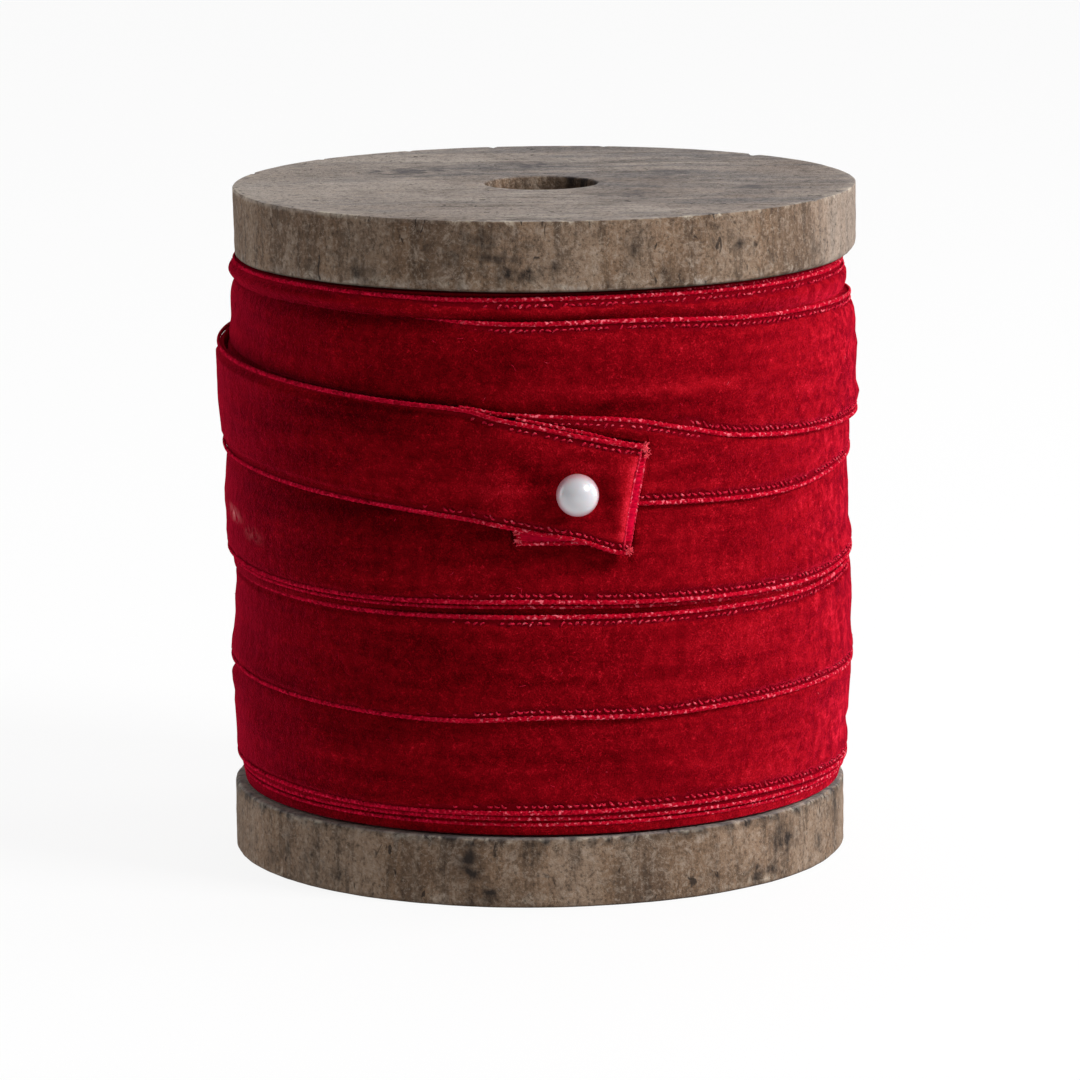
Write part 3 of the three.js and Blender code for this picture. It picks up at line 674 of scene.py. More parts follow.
def spool_wood():
    """Old grey-brown wood with stains, frost, pale patches and wear, and painted shade at the
    foot of each rim, beside the roll and in the bore; marks from the mesh say where.
    """
    s = Shader("spool_wood")
    s.set(Roughness=0.85, Specular_IOR_Level=0.2)
    normal = s.node("ShaderNodeNewGeometry").outputs["Normal"]
    facing = s.node("ShaderNodeSeparateXYZ", {"Vector": normal})
    on_top = s.limits(facing.outputs["Z"], 0.5, 0.9)
    broad = s.noise(55, 4, 0.6)
    patches = s.noise(140, 5, 0.7)
    boards = s.noise(110, stretch=(1, 1, 0.08))
    rim_streaks = s.noise(700, 4, 0.65, stretch=(1, 1, 0.14))
    grain = s.noise(420, 6, 0.7, stretch=(0.14, 1, 1), warp=1.1)
    waves = s.noise(110, 4, 0.6, stretch=(0.2, 1, 1), warp=1.2)
    fine = s.noise(2200, 4, 0.65)
    mottle = s.noise(700, 4, 0.7, warp=0.8)
    specks = s.noise(760, 3, stretch=(1, 1, 0.45), warp=0.8)
    rim = s.ramp(broad, [
        (0.3, (0.108, 0.062, 0.036)),
        (0.5, (0.17, 0.105, 0.064)),
        (0.7, (0.235, 0.152, 0.1)),
    ])
    rim = s.layers(rim, [
        (boards, 0.52, 0.6, 0.4, (0.23, 0.165, 0.118)),
        (boards, 0.46, 0.4, 0.4, (0.06, 0.037, 0.025)),
        (rim_streaks, 0.5, 0.66, 0.7, (0.045, 0.028, 0.018)),
        (rim_streaks, 0.44, 0.32, 0.4, (0.25, 0.19, 0.14)),
        (patches, 0.56, 0.66, 0.5, (0.04, 0.026, 0.018)),
    ])
    top = s.ramp(broad, [
        (0.3, (0.17, 0.132, 0.112)),
        (0.5, (0.245, 0.205, 0.18)),
        (0.7, (0.34, 0.295, 0.26)),
    ])
    top = s.layers(top, [
        (waves, 0.5, 0.62, 0.75, (0.105, 0.1, 0.106)),
        (patches, 0.54, 0.68, 0.5, (0.12, 0.095, 0.08)),
        (grain, 0.52, 0.68, 0.75, (0.07, 0.052, 0.044)),
        (grain, 0.44, 0.3, 0.6, (0.4, 0.35, 0.31)),
    ])
    base = s.mix(on_top, rim, top)
    base = s.mix(s.times(s.attribute("pale"), 0.8), base, (0.33, 0.285, 0.25))
    base = s.layers(base, [
        (mottle, 0.52, 0.7, 0.6, (0.3, 0.235, 0.185)),
        (mottle, 0.46, 0.3, 0.6, (0.04, 0.026, 0.018)),
        (fine, 0.48, 0.3, 0.75, (0.03, 0.02, 0.014)),
        (fine, 0.54, 0.7, 0.4, (0.34, 0.28, 0.23)),
    ])
    base = s.mix(s.times(s.curls(1500, 0.025), 0.4), base, (0.36, 0.295, 0.235))
    blots = s.limits(s.noise(420, 5, 0.7, stretch=(1, 1, 0.5)), 0.4, 0.56, 0.35, 1.5)
    # Stains, with painted shade beside the roll and in the bore, broken into blots
    stain_and_shade_colour = s.mix(on_top, (0.018, 0.012, 0.009), (0.075, 0.066, 0.067))
    base = s.mix(s.times(s.attribute("stain_and_shade"), blots), base, stain_and_shade_colour)
    frost = s.times(s.attribute("frost"), s.limits(mottle, 0.42, 0.62))
    base = s.mix(frost, base, (0.36, 0.32, 0.275))
    base = s.layers(base, [(specks, 0.66, 0.71, 0.85, (0.014, 0.009, 0.007))])
    worn = s.times(s.attribute("wear"), s.limits(mottle, 0.44, 0.6, 0, 0.9))
    base = s.mix(worn, base, (0.55, 0.48, 0.38))
    # Painted shade along the foot of each rim
    base = s.mix(s.times(s.attribute("edge_shade"), 0.9), base, (0.012, 0.008, 0.006))
    return s.finished(base, (grain, 0.0002, 0.5), (fine, 0.0002, 0.9))


def pearl():
    s = Shader("pearl")
    s.set(Roughness=0.4, Specular_IOR_Level=0.6)
    s.set(Coat_Weight=0.8, Coat_Roughness=0.17, Coat_IOR=1.6)
    s.set(Subsurface_Weight=0.2, Subsurface_Scale=0.001)
    pale = s.mix(s.noise(500), (0.46, 0.455, 0.49), (0.54, 0.525, 0.54))
    # Painted reflection of the red velvet round the pearl's rim
    return s.finished(s.mix(s.attribute("velvet_reflection"), pale, (0.46, 0.27, 0.31)))


PILE = velvet_pile()
SELVEDGE = velvet_selvedge("velvet_selvedge", (0.28, 0.001, 0.007), (0.52, 0.004, 0.021))
STITCHING = velvet_selvedge("velvet_stitching", (0.4, 0.005, 0.02), (0.62, 0.02, 0.05))
CUT_THREADS = velvet_selvedge("velvet_cut_threads", (0.6, 0.03, 0.05), (0.8, 0.09, 0.11))
FOLD_SATIN = velvet_fold()
WOOD = spool_wood()
PEARL = pearl()


# The wooden spool


def flange_profile(radius, soft, crisp):
    """(radius, height) from the bore at the foot round to the bore at the top, in
    millimetres above the flange's foot; soft and crisp are the corners' radii."""

    def corner(size, height, angles):
        return [(radius - size + size * math.cos(a), height + size * math.sin(a))
                for a in angles]

    top = FLANGE_THICK - crisp
    points = [(r, 0) for r in np.linspace(BORE_RADIUS + 0.3, radius - soft, 8)]
    points += corner(soft, soft, np.linspace(-math.pi / 2, 0, 9)[1:-1])
    points += [(radius, z) for z in np.linspace(soft, top, 20)]
    points += corner(crisp, top, np.linspace(0, math.pi / 2, 6)[1:])
    face = np.linspace(radius - crisp, BORE_RADIUS + 0.35, 30)[1:]
    points += [(r, FLANGE_THICK) for r in face]
    points.append((BORE_RADIUS + 0.1, FLANGE_THICK - 0.12))
    points += [(BORE_RADIUS, z) for z in np.linspace(FLANGE_THICK - 0.4, 0.3, 8)]
    return np.array(points)


def flange(name, radius, foot, centre_x, corner, seed):
    """A worn disc: the rim is round about the disc, the bore about its own centre."""
    turn = circle(FLANGE_STEPS)[:, None]
    azimuth = np.degrees((turn + math.pi) % (2 * math.pi) - math.pi)
    sharp = flange_profile(radius, corner["sharp"], corner["upper"])
    blunt = flange_profile(radius, corner["blunt"], corner["upper"])
    profile = between(sharp, blunt, share_at(corner["worn"], azimuth)[:, :, None])
    r = profile[..., 0]
    rise = profile[..., 1]
    out = (r - BORE_RADIUS) / (radius - BORE_RADIUS)
    x = between(BORE_X, centre_x, out) + r * np.sin(turn)
    y = between(BORE_Y, 0, out) - r * np.cos(turn)
    solid = np.stack([x, y, foot + rise], axis=-1)

    def rough(size, number):
        return ripples(solid, size, seed + number)

    from_corner = np.hypot(radius - r, FLANGE_THICK - rise)
    on_rim = (r > radius - RIM_ZONE) * 1.0
    on_face = (rise > FACE_FROM) * 1.0
    nicks = np.clip(rough(1.6, 0) - 1.5, 0, 0.9) * np.clip(1 - from_corner / NICK_ZONE, 0, 1)
    swell = rough(14, 1) * SWELL_BROAD + rough(2.5, 2) * SWELL_FINE
    shift = swell * on_rim - nicks * NICK_IN
    solid[..., 0] += shift * np.sin(turn)
    solid[..., 1] -= shift * np.cos(turn)
    face_swell = swell * FACE_SWELL * on_face * (r < radius - RIM_ZONE)
    solid[..., 2] += face_swell * np.clip(r - BORE_RADIUS - 0.5, 0, 1)
    solid[..., 2] -= nicks * NICK_DOWN
    chips = np.clip(rough(2.2, 3) * 0.5 + 0.1, 0, 1)
    low_chips = np.clip(rough(2.6, 4) * 0.5, 0, 1)
    thin_edge = np.clip(1 - from_corner / THIN_EDGE, 0, 1)
    near_foot = hump(rise, 0.8, 0.5) * on_rim
    wear = np.clip(chips * thin_edge * 1.3 + low_chips * near_foot * 0.3, 0, 1)
    # Painted shade in a thin band at the foot of each rim
    edge_shade = np.clip(1 - rise / EDGE_SHADE_TALL, 0, 1) * (r > radius - FLANGE_SOFT)
    frost = corner["frost"] * hump(from_corner, 0, 1) * (0.5 + 0.6 * rough(5, 5))
    hem = corner["hem"] * hump(rise, 0.5, 0.4) * on_rim
    frost = np.clip(frost + hem * (0.5 + 0.5 * rough(3, 6)), 0, 1)
    stain_and_shade = soft_spots(corner["stains"], azimuth, rise) * on_rim
    stain_and_shade += soft_spots(corner["face_stains"], x, y) * (rise > FACE_STAIN_FROM)
    # Painted shade and some dirt beside the roll, under the ribbon
    stain_and_shade += corner["ring"] * np.clip(1.2 - (radius - r + FLANGE_THICK - rise), 0, 1)
    # Painted shade on the right side of the bore's wall
    stain_and_shade += 0.9 * np.clip(x / BORE_RADIUS, 0, 1) * (r < BORE_RADIUS + 0.2)
    stain_and_shade = np.clip(stain_and_shade * (0.75 + 0.35 * rough(1.6, 7)), 0, DARKEST)
    # The rim turns grey between two azimuths on the right
    grey_zone = np.clip((azimuth - GREY_FROM) / GREY_OVER, 0, 1) * (azimuth < GREY_TO)
    # The face turns paler towards the left
    paler_to_left = np.clip((x + 6) / -26, 0, 1) * on_face * 0.6
    pale = paler_to_left + corner["greyer"] * grey_zone * on_rim
    solid[..., :2] += SPOOL_SHIFT
    faces = ring_faces(FLANGE_STEPS, len(sharp), closed=True)[:, ::-1]
    marks = dict(zip(WOOD_MARKS, (wear, edge_shade, frost, stain_and_shade, pale)))
    return mesh_piece(name, solid * MM, faces, [WOOD], marks)


def barrel():
    azimuth = np.degrees(circle(BARREL_STEPS))[:, None]
    inside = np.linspace(ROLL_TOP, ROLL_LOW, 24)
    outside = np.linspace(ROLL_LOW, ROLL_TOP, 12)
    radius = np.repeat([BORE_RADIUS, BARREL_RADIUS], [len(inside), len(outside)])
    points = at(azimuth, radius, np.concatenate([inside, outside]), (BORE_X, BORE_Y))
    faces = ring_faces(BARREL_STEPS, len(radius), closed=True)[:, ::-1]
    plain = {key: np.zeros(points.shape[:2]) for key in WOOD_MARKS}
    return mesh_piece("spool_barrel", points, faces, [WOOD], plain)


def turn_span(turn, azimuth):
    """Heights of a turn's top and low edge."""
    k = TURNS.index(turn)
    heights = edge_heights(azimuth)
    return heights[:, k], heights[:, k + 1]


def radii_of(turn):
    return np.array([np.broadcast_to(row, 3) for row in TURN_RADII[turn]], float)


# The wound turns


def is_folded_under(azimuth):
    return azimuth > UNDER_CUT_AZIMUTH - UNDER_CUT_CLEARANCE


def groove_top(azimuth):
    rise = np.where(is_folded_under(azimuth), UNDER_TOP_RISE, 0)
    return curve_at(TAIL_TOP, azimuth) + EDGE_CLEARANCE + rise


def groove_low(azimuth):
    low = curve_at(TAIL_LOW, azimuth)
    under = np.minimum(low, UNDER_LOW_HEIGHT)
    return np.where(is_folded_under(azimuth), under, low) - EDGE_CLEARANCE


def edge_heights(azimuth):
    """Heights of the thirteen edge lines, top to bottom, for an array of azimuths."""
    edge = {name: curve_at(knots, azimuth) for name, knots in TURN_EDGES.items()}
    behind = azimuth < TAIL_START
    left = azimuth <= FOLD_LINE[0][0]
    tail_top = curve_at(TAIL_TOP, azimuth)
    tail_low = curve_at(TAIL_LOW, azimuth)
    top = groove_top(azimuth)
    low = groove_low(azimuth)
    fold = curve_at([(a + FOLD_CLEARANCE_DEG, h) for a, h in FOLD_LINE], azimuth)
    in_groove = fold < FOLD_LINE[-1][1]
    third_top = edge["thirdTop"]
    closed = between(third_top, edge["thirdLow"], GROOVE_END_SHARE)
    to = np.where(in_groove, np.maximum(fold, low), closed)
    right_low = np.minimum(np.minimum(edge["thirdLow"], to), third_top)
    right_from = np.maximum(np.where(in_groove, top, closed), right_low)
    second_left = np.where(azimuth > THIRD_TOP_FROM, np.maximum(third_top, top), top)
    third_left = np.where(
        azimuth < THIRD_LOW_HIDDEN_FROM, np.minimum(edge["thirdLowBehind"], low), low)
    second_low = np.where(behind, tail_top, np.where(left, second_left, third_top))
    groove_from = np.where(behind, tail_top, np.where(left, top, right_from))
    groove_to = np.where(behind, tail_low, np.where(left, low, np.maximum(to, right_low)))
    third_low = np.where(
        behind, edge["thirdLowBehind"], np.where(left, third_left, right_low))
    full = np.full_like(azimuth, 1.0)
    heights = [
        ROLL_TOP * full, edge["upperTop"], edge["secondTop"], second_low, groove_from,
        groove_to, third_low, edge["fourthLow"], edge["fifthTop"], edge["fifthLow"],
        edge["sixthLow"], edge["innerLow"], ROLL_LOW * full,
    ]
    for k in range(1, len(heights)):
        heights[k] = np.maximum(np.minimum(heights[k], heights[k - 1]), ROLL_LOW)
    return np.stack(heights, axis=-1)


def turn_radius(turn, azimuth, place):
    """Radius of a turn at a place between its top edge, 0, and its low edge, 1."""
    azimuth, place = np.broadcast_arrays(np.asarray(azimuth, float), place)
    top, middle, low = radii_of(turn).T
    upper = ease_between(top, middle, place[..., None] * 2)
    lower = ease_between(middle, low, place[..., None] * 2 - 1)
    picked = np.where(place[..., None] < 0.5, upper, lower)
    groove = turn == "underTail"
    if groove:
        picked[..., 0] = np.where(azimuth >= TAIL_START, picked[..., 1], picked[..., 0])
    along = (azimuth + 180) / 90
    i = np.clip(np.floor(along).astype(int), 0, 3)
    here = np.take_along_axis(picked, i[..., None], -1)[..., 0]
    after = np.take_along_axis(picked, i[..., None] + 1, -1)[..., 0]
    plain = ease_between(here, after, along - i)
    if groove:
        return plain
    fade = np.cos(np.radians(azimuth / 2)) ** 2
    same_turn = "thirdUpper" if turn == "thirdLower" else turn
    phase = radii_of(same_turn)[1, 1] * UNEVEN_PHASE_PER_MM
    wave = np.sin(np.radians(azimuth * UNEVEN_WAVES) + phase)
    return plain + UNEVEN_DEPTH * fade * wave


def edge_shows(turn, side, azimuth):
    return share_at(EDGE_SHOWS.get((turn, side), NEVER), azimuth)


def bare_at(across):
    """1 on the woven selvedge, 0 where the pile stands."""
    return 1 - ease((across - PILE_FROM) / (PILE_TO - PILE_FROM))


def bare_share(azimuth, across):
    """How bare a turn is at a distance across from its edge; the pile's edge wanders."""
    spot = np.stack(np.broadcast_arrays(azimuth * 0.66, across * 0), axis=-1)
    wander = PILE_EDGE_UNEVEN * ripples(spot, 1.7, 5)
    return bare_at(across + PILE_LEAN * share_at(PILE_LEANS, azimuth) - wander)


def edge_depth(turn, side, azimuth, across):
    """How far the surface lies below the pile at a distance across from an edge, and
    how bare the ground is there."""
    shows = edge_shows(turn, side, azimuth)
    bare = bare_share(azimuth, across)
    deep, reach = CREASE_TUCK if (turn, side) in CREASED else EDGE_TUCK
    tucked = deep * np.exp(-across / reach)
    if (turn, side) in JOINED:
        tucked = tucked * (azimuth < JOINED_FROM)
    return shows * bare * GROUND_DEPTH + (1 - shows) * tucked, shows * bare


# Soft ridges and hollows in the pile: azimuth, height, reach in each, rise
RIDGES = [
    (88, 67.2, 16, 1.0, 0.32), (88, 65.4, 14, 1.0, 0.26), (90, 61.6, 16, 1.3, 0.36),
    (90, 58.3, 14, 0.8, -0.1), (90, 55.9, 16, 1.2, 0.34), (86, 52.0, 12, 1.0, -0.2),
    (88, 40.6, 16, 1.4, -0.32), (88, 26.6, 14, 1.6, -0.2), (88, 15.5, 16, 1.1, -0.42),
    (-88, 70.8, 14, 0.9, 0.45), (-88, 57.0, 16, 4.0, 0.3), (-88, 35.0, 14, 1.2, -0.2),
    (-88, 21.6, 12, 1.0, 0.4), (28, 62.1, 24, 0.7, 0.22), (60, 61.0, 22, 1.0, 0.3),
    (30, 59.9, 26, 0.9, -0.14), (62, 57.9, 18, 1.1, 0.16), (64, 65.8, 16, 0.9, 0.14),
    (-62, 57.5, 18, 1.6, 0.1), (-60, 72.0, 22, 0.8, 0.16), (-55, 44.5, 20, 1.4, 0.12),
    (40, 42.0, 30, 1.6, -0.08), (-20, 30.0, 34, 1.8, 0.08), (55, 28.5, 22, 1.3, -0.08),
    (20, 17.5, 34, 1.8, 0.08), (-70, 18.0, 16, 1.4, 0.1),
]
# Waves in the pile, as (size, seed, depth in millimetres), and creases, whose waves are
# stretched along the ribbon
PILE_LUMPS = [(9, 11, 0.035), (3.2, 12, 0.02)]
CREASES = [(2.4, 31, 0.05)]
CREASE_STRETCH = np.array([0.16, 0.16, 1])
# Turns narrower than this lose part of their edges' depth
NARROW_TURN = 4.0
PILE_RISES_OVER = 1.5
SEAM_FADE = 6


EDGE_OFFSETS = np.array([0, 0.3, 0.7, 0.95, 1.15, 1.35, 1.6, 2.1])
MIDDLE_POINTS = 6


def row_places(tall):
    """Places across a turn, 0 to 1, close together at both edges: one row for each."""
    scale = np.clip(tall / 6.0, 1e-6, 1)[:, None] / np.maximum(tall, 1e-6)[:, None]
    top = EDGE_OFFSETS[None, :] * scale
    low = 1 - top[:, ::-1]
    t = np.arange(1, MIDDLE_POINTS + 1)[None, :] / (MIDDLE_POINTS + 1)
    middle = between(top[:, -1:], low[:, :1], t)
    return np.concatenate([top, middle, low], axis=1)


def body_azimuths():
    close = [TAIL_START - 0.6, TAIL_START, *[FOLD_LINE[0][0] + s for s in (
        0.4, 0.9, 1.4, 1.9, 2.4, 2.8, 3.2, 3.5, 3.8, 4.1)]]
    even = [a for a in np.arange(-180, 181, 1.0)
            if min(abs(a - c) for c in close) > 0.35]
    return np.array(sorted([*close, *even]))


def surface_radius(turn, azimuth, place, height, tall):
    """The velvet's outside, with its edges and unevenness, for arrays of places."""
    r = turn_radius(turn, azimuth, place)
    from_top = place * tall
    from_low = (1 - place) * tall
    top_depth, top_bare = edge_depth(turn, "top", azimuth, from_top)
    low_depth, low_bare = edge_depth(turn, "low", azimuth, from_low)
    r = r - np.clip(tall / NARROW_TURN, 0, 1) * (top_depth + low_depth)
    spot = at(azimuth, r, height) / MM
    pile = ease((np.minimum(from_top, from_low) - PILE_FROM) / PILE_RISES_OVER)
    fade = ease((180 - np.abs(azimuth)) / SEAM_FADE)
    rise = unevenness(spot, PILE_LUMPS) + unevenness(spot * CREASE_STRETCH, CREASES)
    rise = rise + soft_spots(RIDGES, azimuth, height)
    return r + pile * fade * rise, np.maximum(top_bare, low_bare)


# Painted light and shade on the pile round the roll, lit on the right and shaded on the
# left front, as (azimuth, lightness), and patches of painted light and shade that make it
# lighter or darker: azimuth, height, reach, tall, change
PAINTED_LIGHT_ROUND = [
    (-180, 0.5), (-140, 0.46), (-100, 0.4), (-75, 0.34), (-50, 0.33), (-20, 0.41),
    (0, 0.46), (15, 0.48), (30, 0.52), (50, 0.56), (90, 0.58), (130, 0.55), (180, 0.5),
]
PAINTED_LIGHT_PATCHES = [
    (-6, 72.0, 40, 1.2, 0.18), (-50, 63.5, 14, 4.0, 0.09), (-34, 70.2, 26, 0.9, -0.15),
    (-8, 66.5, 9, 3.0, -0.05), (2, 70.3, 14, 1.0, -0.06), (34, 62.3, 26, 0.6, 0.16),
    (16, 61.4, 16, 0.45, 0.12), (18, 60.0, 17, 0.9, -0.2), (-28, 59.6, 16, 2.2, -0.16),
    (-60, 61.6, 12, 1.4, -0.12), (-62, 53.0, 12, 3.0, -0.06), (-44, 47.4, 28, 1.2, -0.16),
    (-20, 44.6, 14, 1.4, -0.1), (-30, 39.0, 40, 1.4, 0.05), (8, 42.5, 14, 1.2, -0.05),
    (-52, 31.0, 14, 3.5, 0.09), (-10, 30.0, 16, 4.0, -0.05), (0, 33.6, 50, 0.7, 0.05),
    (-45, 17.0, 16, 3.0, 0.08), (0, 18.0, 18, 3.5, -0.02), (-50, 21.4, 30, 0.9, -0.08),
    (60, 44.0, 12, 3.0, 0.05), (64, 29.0, 12, 3.0, 0.06), (72, 17.0, 10, 4.0, 0.1),
    (75, 66.0, 10, 4.0, 0.1), (70, 57.0, 9, 3.0, 0.06), (30, 52.4, 10, 1.0, -0.06),
    (-86, 58, 5, 6, 0.1), (-84, 31, 7, 4, 0.12), (-84, 17, 7, 4, 0.1), (-84, 43, 7, 5, 0.08),
    (-80, 66, 7, 4, 0.1),
]
# Where mottled painted sheen lies on the pile in patches, most on the lit right
SHEEN_MOTTLE = [(-180, 0.4), (-110, 0.4), (-90, 0.6), (-70, 0), (45, 0), (72, 1), (120, 0.8), (180, 0.4)]


NAP_STRETCH = np.array([0.12, 0.12, 1])
NAP_WAVES = [(2.2, 51, 0.03)]
# painted light, bare, scuff and painted sheen marks inside the roll, where nothing is seen
WALL_MARKS = (0.3, 1.0, 0.0, 0.0)
# A pale rubbed streak on the left: azimuth, height, reach in each, strength, and how
# much it falls for a degree
SCUFF = (-72, 42.9, 7, 0.35, 1)
SCUFF_FALL = -0.14


def scuff_strength(azimuth, height):
    lowered = height - (azimuth - SCUFF[0]) * SCUFF_FALL
    return soft_spots([SCUFF], azimuth, lowered)


# Painted light and shade on the pile at places round the roll
def painted_lightness(azimuth, height):
    azimuth, height = np.broadcast_arrays(azimuth, height)
    plain = curve_at(PAINTED_LIGHT_ROUND, azimuth) + soft_spots(PAINTED_LIGHT_PATCHES, azimuth, height)
    spot = at(azimuth, 38.0, height) / MM
    return plain + unevenness(spot * NAP_STRETCH, NAP_WAVES)


def ribbon_body():
    azimuth = body_azimuths()
    heights = edge_heights(azimuth)
    columns = []
    marks = []
    for k, turn in enumerate(TURNS):
        tall = heights[:, k] - heights[:, k + 1]
        places = row_places(tall)
        z = heights[:, k:k + 1] - tall[:, None] * places
        a = np.broadcast_to(azimuth[:, None], z.shape)
        r, bare = surface_radius(turn, a, places, z, tall[:, None])
        block = at(a, r, z)
        if columns:
            hidden = tall < HIDDEN_TURN
            block[hidden] = columns[-1][hidden][:, -1:, :]
        columns.append(block)
        marks.append((painted_lightness(a, z), bare, scuff_strength(a, z), share_at(SHEEN_MOTTLE, a)))
    for z in (ROLL_LOW, ROLL_TOP):
        wall = BARREL_RADIUS + SEAT_GAP
        columns.append(at(azimuth[:, None], wall, z, (BORE_X, BORE_Y)))
        marks.append([np.full((len(azimuth), 1), mark) for mark in WALL_MARKS])
    grid = np.concatenate(columns, axis=1)
    grid[:, -3, 2] = ROLL_LOW * MM
    floats = {}
    for key, values in zip(("painted_light_and_tone", "bare", "scuff", "sheen_mottle"), zip(*marks)):
        floats[key] = np.concatenate(values, axis=1)
    faces = ring_faces(*grid.shape[:2])
    return welded("ribbon_body", grid.reshape(-1, 3), faces, [PILE], floats)


def welded(name, points, faces, materials, floats):
    """A mesh whose points that share a place are one point and whose empty faces go."""
    keys = np.round(points / (WELD_WITHIN * MM)).astype(np.int64)
    _, first, back = np.unique(keys, axis=0, return_index=True, return_inverse=True)
    kept = []
    for face in back.ravel()[faces].tolist():
        ring = [v for i, v in enumerate(face) if v != face[i - 1]]
        if len(set(ring)) >= 3 and len(set(ring)) == len(ring):
            kept.append(ring)
    floats = {key: values.ravel()[first] for key, values in floats.items()}
    return mesh_piece(name, points[first], kept, materials, floats)


# Selvedges: a rolled lip with beads where the weft turns, and a row of small stitches


def edge_run(turn, side, least):
    """Closely spaced azimuths where an edge shows, in unbroken runs."""
    azimuth = np.linspace(-180, 180, RUN_STEPS)
    top, low = turn_span(turn, azimuth)
    good = (edge_shows(turn, side, azimuth) > 0.02) & (top - low > least)
    cuts = np.flatnonzero(np.diff(np.concatenate([[0], good, [0]])))
    runs = zip(cuts[::2], cuts[1::2])
    return [azimuth[start:end] for start, end in runs if end - start > SHORTEST_RUN]


def edge_place(turn, side, azimuth, across, depth):
    """Radius and height of a thread at a distance across from an edge."""
    top, low = turn_span(turn, azimuth)
    share = np.clip(across / np.maximum(top - low, 1e-6), 0, 0.5)
    sunk = (1 - edge_shows(turn, side, azimuth)) * SUNK
    if side == "top":
        return turn_radius(turn, azimuth, share) - depth - sunk, top - across
    return turn_radius(turn, azimuth, 1 - share) - depth - sunk, low + across


def outward_at(azimuth):
    turn = np.radians(azimuth)
    return np.stack([np.sin(turn), -np.cos(turn), np.zeros_like(turn)], axis=-1)


def run_length(path):
    """How far each point of a path is along it, in millimetres."""
    steps = np.linalg.norm(np.diff(path, axis=0), axis=1) / MM
    return np.concatenate([[0], np.cumsum(steps)])


def add_lip(joined, path, outward, draw, size=1.0):
    """A rolled lip: beads lean round it, and no two are quite alike."""
    length = run_length(path)
    turn = circle(LIP_SIDES)
    drift = np.cumsum(draw.normal(size=len(length))) * BEAD_DRIFT
    place = length / BEAD_PITCH + drift
    wave = np.cos(2 * math.pi * (place[:, None] + BEAD_LEAN * np.sin(turn)))
    beads = (0.5 + 0.5 * wave) ** BEAD_SHARP
    knots = np.arange(0, length[-1] + 4, 2)
    strength = 0.6 + 0.4 * np.interp(length, knots, draw.uniform(0, 1, len(knots)))
    flat = 1 - LIP_FLAT * np.cos(turn) ** 2
    radii = size * (LIP_RADIUS + BEAD_RISE * beads * strength[:, None]) * flat
    joined.add(*tube(path, outward, radii * MM, LIP_SIDES))


def add_stitches(joined, path, outward, toward, draw):
    """A row of small arched threads along a path; toward points to the ribbon's edge."""
    length = run_length(path)
    guides = np.concatenate([path, outward, toward], axis=1)
    bend = np.linspace(-1, 1, 6)
    hidden = STITCH_MISSING + share_at(PILE_LEANS, azimuth_of(path))
    for centre in np.arange(STITCH_PITCH / 2, length[-1] - STITCH_PITCH / 2, STITCH_PITCH):
        if draw.uniform() < np.interp(centre, length, hidden):
            continue
        half = STITCH_HALF * draw.uniform(0.7, 1.3)
        deep = -STITCH_DEEP * draw.uniform(0.2, 1.7)
        lean = 0.1 + draw.normal() * 0.09
        spots = centre + draw.normal() * 0.07 + bend * half
        base, out, side = np.split(sampled(guides, length, spots), 3, axis=1)
        shift = (bend ** 2 - 0.5) * deep + bend * lean
        rise = STITCH_RISE * (1 - bend ** 2)
        line = base + (side * shift[:, None] + out * rise[:, None]) * MM
        radii = THREAD_RADIUS * draw.uniform(0.75, 1.2) * (1 - 0.45 * bend ** 4) * MM
        joined.add(*tube(line, out, radii[:, None], 4))


def selvedges(name, edges, seed):
    """The lips and stitches of several turns' edges, as two pieces."""
    draw = np.random.RandomState(seed)
    lips = Joined()
    stitches = Joined()
    for turn, side in edges:
        for azimuth in edge_run(turn, side, 0.02):
            r, z = edge_place(turn, side, azimuth, LIP_PLACE, LIP_DEPTH)
            add_lip(lips, at(azimuth, r, z), outward_at(azimuth), draw)
        for azimuth in edge_run(turn, side, 1.0):
            r, z = edge_place(turn, side, azimuth, STITCH_PLACE, STITCH_DEPTH)
            toward = np.tile([0, 0, 1 if side == "top" else -1], (len(azimuth), 1))
            add_stitches(stitches, at(azimuth, r, z), outward_at(azimuth), toward, draw)
    return [lips.piece(name + "_lips", SELVEDGE),
            stitches.piece(name + "_stitches", STITCHING)]


# Edges of deeper turns that show between the outer ones: turn, share of its height,
# from and to azimuth, rise over the turn
INNER_LINES = [
    ("innerGap", 0.42, -95, 95, 0.0),
    ("innerLast", 0.35, -175, 175, 0.1),
    ("innerUpper", 0.55, 20, 150, 0.0),
]
INNER_STEPS_PER_DEGREE = 2.8
INNER_LIP_SIZE = 0.85


def inner_lines(seed):
    draw = np.random.RandomState(seed)
    lips = Joined()
    for turn, share, start, end, rise in INNER_LINES:
        azimuth = np.linspace(start, end, int((end - start) * INNER_STEPS_PER_DEGREE))
        top, low = turn_span(turn, azimuth)
        keep = top - low > 0.3
        azimuth = azimuth[keep]
        r = turn_radius(turn, azimuth, share) + rise - LIP_DEPTH * 0.5
        place = at(azimuth, r, between(top, low, share)[keep])
        add_lip(lips, place, outward_at(azimuth), draw, INNER_LIP_SIZE)
    return lips.piece("ribbon_inner_lips", SELVEDGE)


# The loose end: front layer, fold, and the part that is folded under


def layer_radius(azimuth, place, layer):
    floor = turn_radius("underTail", np.maximum(azimuth, TAIL_START), place)
    return floor + SEAT_GAP + RIBBON_THICK / 2 + layer * (RIBBON_THICK + LAYER_GAP)


